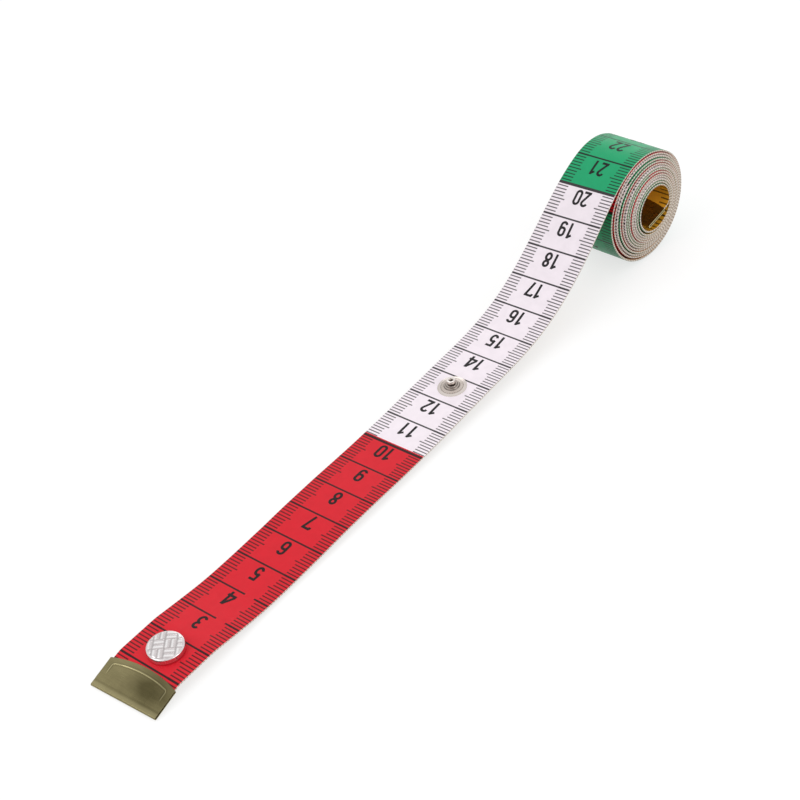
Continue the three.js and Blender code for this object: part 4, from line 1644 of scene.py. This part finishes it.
        # Painted highlight lines along the bars, painted shade on the rest of the bars and stronger painted
        # shade between them
        bars, wear_and_shine = self.bars(x, y)
        crest, dull, deep = (mark * within for mark in self.cap_marks)
        return np.stack([crest * wear_and_shine, dull * (1.0 - wear_and_shine), deep * (1.0 - bars) ** 2], axis=-1)

    def cap(self) -> MeshParts:
        """Cap shell, whose lip is curled in under the post's flange.

        Returns:
            Its mesh.
        """
        top, base, r = self.seat + self.cap_height, self.seat, self.cap_radius
        inside, lip = r - self.sheet, r - self.cap_lip
        corners = [(0, top), (r, top), (r, base), (lip, base), (lip, base + self.sheet),
                   (inside, base + self.sheet), (inside, top - self.sheet), (0, top - self.sheet)]
        outline = rounded(corners, self.cap_rounding, axial=True, steps=7)
        rings = [(float(radius), top) for radius in np.linspace(0.0, outline[1][0], self.cap_rings)[:-1]]
        return revolve(rings + outline[1:], axial=True, segments=self.cap_segments, relief=self.weave,
                       tint=self.cap_tint)

    def post(self) -> MeshParts:
        """Hollow post that joins cap and socket and is flared inside the socket.

        Returns:
            Its mesh.
        """
        top = self.seat + self.cap_height - self.sheet - self.gap
        flange, flare = self.seat + self.sheet + self.gap, -self.seat - self.sheet - self.gap
        rim, r, bore = self.cap_radius - self.sheet - self.gap, self.post_radius, self.post_bore
        wide = r + self.post_flare
        corners = [(0, top), (rim, top), (rim, flange), (r, flange), (r, flare), (wide, flare),
                   (wide, flare - self.sheet), (bore, flare - self.sheet), (bore, 0), (0, 0)]
        return revolve(rounded(corners, radius=0.12, axial=True), axial=True, segments=96)

    def socket(self) -> MeshParts:
        """Socket cup under the tape, open downwards.

        Returns:
            Its mesh.
        """
        top, base, r = -self.seat, -self.route.clamp_height, self.socket_radius
        inside, hole, mouth = r - self.sheet, self.post_radius + self.hole_clearance, self.socket_mouth
        corners = [(hole, top), (r, top), (r, base), (mouth, base), (mouth, base + self.sheet),
                   (inside, base + self.sheet), (inside, top - self.sheet), (hole, top - self.sheet)]
        return revolve(rounded(corners, radius=0.3, axial=False, steps=7), axial=False, segments=128)

    def wire(self, side: float) -> MeshParts:
        """Spring wire beside the socket's mouth, with rounded ends.

        Args:
            side: Which side of the mouth it is on, as -1 or 1.

        Returns:
            Its mesh.
        """
        r = self.wire_radius
        spread = self.wire_offset + r + self.wire_travel
        half = math.sqrt((self.socket_radius - self.sheet - self.gap) ** 2 - spread ** 2)
        corners = [(0, half), (r, half), (r, -half), (0, -half)]
        parts = revolve(rounded(corners, radius=0.16, axial=True, steps=6), axial=True, segments=32)
        x, y, z = parts.points[0].T
        height = -self.route.clamp_height + self.sheet + self.gap + r
        parts.points = [np.column_stack([x + side * self.wire_offset, z, y + height])]
        return parts

    def stud_dents(self, x: np.ndarray, y: np.ndarray, z: np.ndarray) -> np.ndarray:
        """Small dents round the stud's disc, and the fine rings turned into it.

        Args:
            x: Places across the tape.
            y: Places along it.
            z: Heights over its middle.

        Returns:
            Heights to add.
        """
        radius, angle = np.hypot(x, y), np.arctan2(y, x)
        teeth = self.tooth_depth * np.cos(self.stud_teeth * angle) * bell(radius, *self.tooth_place)
        disc = ease(radius, *self.ripple_start) * ease(radius, *self.ripple_end) * (z > self.disc_base)
        ripple = self.stud_ripple * np.sin(radius * TURN / self.ripple_pitch)
        return np.where(z > self.tooth_base, teeth, 0.0) + disc * ripple

    def stud_tint(self, x: np.ndarray, y: np.ndarray, z: np.ndarray) -> np.ndarray:
        """Painted highlight on the stud's flange, and painted shade at its neck, steps and dents.

        Args:
            x: Places across the tape.
            y: Places along it.
            z: Heights over its middle.

        Returns:
            Marks of painted highlight, painted darker areas and painted shade in recesses.
        """
        radius, angle = np.hypot(x, y), np.arctan2(y, x)
        # Painted shade under the head, at the feet of the steps and in the dents, and a painted highlight on
        # the flange
        neck = ease(z, *self.neck_start) * ease(z, *self.neck_end) * (radius < self.neck_radius)
        low, high = self.step_heights
        steps = sum(mark * bell(radius, middle, width) for mark, middle, width in self.step_marks)
        mean, swing = self.dent_tint
        dents = (mean + swing * np.cos(self.stud_teeth * angle)) * bell(radius, *self.dent_place)
        recess = np.maximum(neck, steps * (z > low) * (z < high))
        recess = np.maximum(recess, dents * (z > self.tooth_base))
        return np.stack([self.flange_shine * ease(radius, *self.flange_start), 0.0 * x, recess], axis=-1)

    def eyelet_tint(self, x: np.ndarray, y: np.ndarray, z: np.ndarray) -> np.ndarray:
        """Painted highlight on the eyelet's rim, and painted shade in its bore.

        Args:
            x: Places across the tape.
            y: Places along it.
            z: Heights over its middle.

        Returns:
            Marks of painted highlight, painted darker areas and painted shade in recesses.
        """
        radius = np.hypot(x, y)
        start, end = (self.eyelet_top - drop for drop in self.eyelet_shine)
        # Painted highlight on the rim and painted shade down the bore
        rim = ease(z, start, end) * ease(radius, self.eyelet_mouth - 0.02, self.eyelet_shine_end)
        bore = (z > 0.0) * ease(radius, self.eyelet_mouth - 0.05, self.eyelet_bore + 0.1)
        return np.stack([rim, 0.0 * x, bore], axis=-1)

    def stud(self) -> MeshParts:
        """Stud over the tape: thin flange, rising rings, neck and head, bored for the eyelet.

        Returns:
            Its mesh.
        """
        bore = self.eyelet_radius + self.gap
        corners = [(bore, self.stud_outline[0][1]), *self.stud_outline, (bore, self.stud_outline[-1][1])]
        outline = rounded(corners, radius=0.11, axial=False)
        rows = []
        for (ra, za), (rb, zb) in zip(outline, outline[1:] + outline[:1]):
            disc = za > self.disc_base and ra > self.disc_inner
            count = max(1, math.ceil(abs(ra - rb) / self.disc_step)) if disc else 1
            rows += [(ra + (rb - ra) * k / count, za + (zb - za) * k / count) for k in range(count)]
        return revolve(rows, axial=False, segments=168, relief=self.stud_dents, tint=self.stud_tint)

    def eyelet(self) -> MeshParts:
        """Eyelet under the tape, whose barrel is spread over the stud's head like a funnel.

        Returns:
            Its mesh.
        """
        flange, top, rim, bore = -self.seat, self.eyelet_top, self.eyelet_rim, self.eyelet_bore
        edge, wide, r = flange - self.sheet, self.eyelet_flange, self.eyelet_radius
        crown, head = edge - self.eyelet_crown[1], self.stud_outline[-1][1] + self.gap / 2.0
        corners = [(0, crown), (self.eyelet_crown[0], crown), (wide, edge), (wide, flange),
                   (r, flange), (r, head), (rim, head), (rim, top), (rim - self.eyelet_bevel[0], top),
                   (self.eyelet_mouth, top - self.eyelet_bevel[1]), (bore, top - self.eyelet_funnel),
                   (bore, flange), (0, flange)]
        return revolve(rounded(corners, radius=0.07, axial=True), axial=True, segments=96,
                       tint=self.eyelet_tint)

    def build(self, metals: dict[Metal, bpy.types.Material]) -> list[bpy.types.Object]:
        """Makes the closure's pieces and seats them on the tape.

        Args:
            metals: Materials by metal.

        Returns:
            The pieces.
        """
        near, far = self.route.seat(self.route.cap_reading), self.route.seat(self.route.stud_reading)
        bright, warm, steel = metals[Metal.NICKEL], metals[Metal.WARM_NICKEL], metals[Metal.STEEL]
        plate, wire = "snap_nickel", "spring_wire"
        rows = [
            (self.cap(), "press_cap", bright, near, "free_end", plate, "snap_cap"),
            (self.post(), "hollow_post", bright, near, "free_end", plate, "cap_post"),
            (self.socket(), "socket_cup", bright, near, "free_end", plate, "snap_socket"),
            (self.wire(-1.0), "grip_wire_left", steel, near, "spring_left", wire, "socket_spring_left"),
            (self.wire(1.0), "grip_wire_right", steel, near, "spring_right", wire, "socket_spring_right"),
            (self.stud(), "press_stud", warm, far, "white_run", plate, "snap_stud"),
            (self.eyelet(), "stud_rivet", warm, far, "white_run", plate, "stud_eyelet"),
        ]
        return [seat_piece(*row) for row in rows]


@dataclass
class Studio:
    """Camera, pale floor and soft light."""

    eye: tuple[float, ...] = (220.771, -234.211, 272.684)
    ahead: tuple[float, ...] = (-0.54553, 0.55128, -0.63126)
    right: tuple[float, ...] = (0.7729, 0.62218, -0.12458)
    lens: float = 71.212
    sensor: float = 36.0
    nearest: float = 0.01
    floor_size: float = 40.0
    floor_drop: float = 0.02
    floor_shade: float = 0.34
    floor_glow: float = 0.7
    horizon: float = 0.74
    zenith: float = 1.16
    sky_band: Point = (-0.1, 0.9)
    rim_level: float = 1.3
    rim_band: Point = (0.12, 0.07)
    dark_way: tuple[float, ...] = (0.05, -0.98, -0.5)
    dark_level: float = 0.25
    dark_band: Point = (0.2, 0.95)
    bright_way: tuple[float, ...] = (-0.57, 0.81, 0.13)
    bright_level: float = 2.5
    bright_band: Point = (0.9, 0.98)
    key_place: tuple[float, ...] = (-0.26, -0.74, 0.70)
    key_size: float = 0.7
    key_power: float = 2.36
    fill_place: tuple[float, ...] = (0.84, 0.02, 0.30)
    fill_size: float = 0.5
    fill_power: float = 1.7

    def camera(self) -> None:
        """Camera at the photograph's viewing angle."""
        back = -Vector(self.ahead).normalized()
        right = Vector(self.right)
        right = (right - back * right.dot(back)).normalized()
        lens = bpy.data.cameras.new("camera")
        lens.sensor_width, lens.lens, lens.clip_start = self.sensor, self.lens, self.nearest
        made = linked("camera", lens)
        made.matrix_world = from_columns(right, back.cross(right), back, Vector(self.eye) * MM)
        bpy.context.scene.camera = made

    def floor(self) -> None:
        """Pale floor that stays white to the eye and in the metal, and keeps the shadow."""
        made, graph = new_material("pale_floor")
        path = graph.node("ShaderNodeLightPath")
        seen = path.outputs["Is Camera Ray"]
        for name in ("Is Glossy Ray", "Is Transmission Ray"):
            seen = graph.math("MAXIMUM", seen, path.outputs[name])
        matt = graph.node("ShaderNodeBsdfDiffuse", {"Color": (self.floor_shade,) * 3 + (1.0,)})
        glow = graph.node("ShaderNodeEmission", {"Strength": graph.math("MULTIPLY", seen, self.floor_glow)})
        both = graph.node("ShaderNodeAddShader", {0: matt.outputs[0], 1: glow.outputs[0]})
        graph.node("ShaderNodeOutputMaterial", {"Surface": both.outputs[0]})
        half = self.floor_size / 2.0
        mesh = bpy.data.meshes.new("floor")
        corners = [(-half, -half, 0.0), (half, -half, 0.0), (half, half, 0.0), (-half, half, 0.0)]
        mesh.from_pydata(corners, [], [(0, 1, 2, 3)])
        mesh.materials.append(made)
        piece = linked("floor", mesh)
        piece.location.z = -self.floor_drop * MM

    def light(self) -> None:
        """Soft sky with a dark patch in front and a bright one behind, a wide lamp and a weaker one."""
        world = bpy.data.worlds.new("studio")
        world.use_nodes = True
        bpy.context.scene.world = world
        graph = ShaderGraph(world.node_tree)
        way = graph.node("ShaderNodeTexCoord").outputs["Generated"]
        height = graph.node("ShaderNodeSeparateXYZ", {0: way}).outputs[2]
        level = graph.ramp(height, *self.sky_band, (self.horizon, self.zenith))
        for patch, band, factor in ((self.dark_way, self.dark_band, self.dark_level),
                                    (self.bright_way, self.bright_band, self.bright_level)):
            facing = graph.node("ShaderNodeVectorMath", {0: way, 1: patch}, operation="DOT_PRODUCT")
            level = graph.math("MULTIPLY", level, graph.ramp(facing.outputs[1], *band, (1.0, factor)))
        rim = graph.ramp(height, *self.rim_band, (0.0, self.rim_level))
        sky = graph.node("ShaderNodeBackground", {"Strength": graph.math("MAXIMUM", level, rim)})
        graph.node("ShaderNodeOutputWorld", {"Surface": sky.outputs[0]})
        for name, place, size, power in (("key", self.key_place, self.key_size, self.key_power),
                                         ("fill", self.fill_place, self.fill_size, self.fill_power)):
            lamp = bpy.data.lights.new(name, "AREA")
            lamp.size, lamp.energy = size, power
            made = linked(name, lamp)
            made.location = place
            made.rotation_euler = (-Vector(place)).to_track_quat("-Z", "Y").to_euler()

    def build(self) -> None:
        """Sets up the whole stage."""
        bpy.context.scene.view_settings.view_transform = "Standard"
        self.camera()
        self.floor()
        self.light()


def clips(route: Route) -> list[EndClip]:
    """Clips at the two ends of the tape.

    Args:
        route: Line that the tape follows.

    Returns:
        The outer and the inner clip.
    """
    outer = route.seat(route.clip_half)
    outer.translation -= route.clip_half * outer.to_3x3().col[1]
    pivot = Matrix.Translation((0.0, TIP_PIVOT, 0.0))
    outer = outer @ pivot @ Matrix.Rotation(math.radians(TIP_TURN), 4, "Z") @ pivot.inverted()
    outer = outer @ Matrix.Translation((TIP_SHIFT, 0.0, 0.0))
    inner = route.seat(float(route.reading[-1]))
    inner.translation += route.clip_half * inner.to_3x3().col[1]
    inner = inner @ Matrix.Rotation(math.pi, 4, "Z")
    return [
        EndClip("tip_clip", "outer_end_clip", "free_end", outer),
        EndClip("bore_clip", "inner_end_clip", "core", inner, bright_ends=1.0),
    ]


def main() -> None:
    """Builds the stage and every piece, and logs the number of faces of each."""
    logging.basicConfig(level=logging.INFO, format="%(message)s")
    Studio().build()
    route = Route()
    metals = {metal: metal.value.material() for metal in Metal}
    pieces = Tape(route).build()
    pieces += [clip.build(metals[Metal.BRASS]) for clip in clips(route)]
    pieces += PressStud(route).build(metals)
    for piece in pieces:
        LOG.info("%s: %d faces", piece.name, len(piece.data.polygons))


if __name__ == "__main__":
    main()
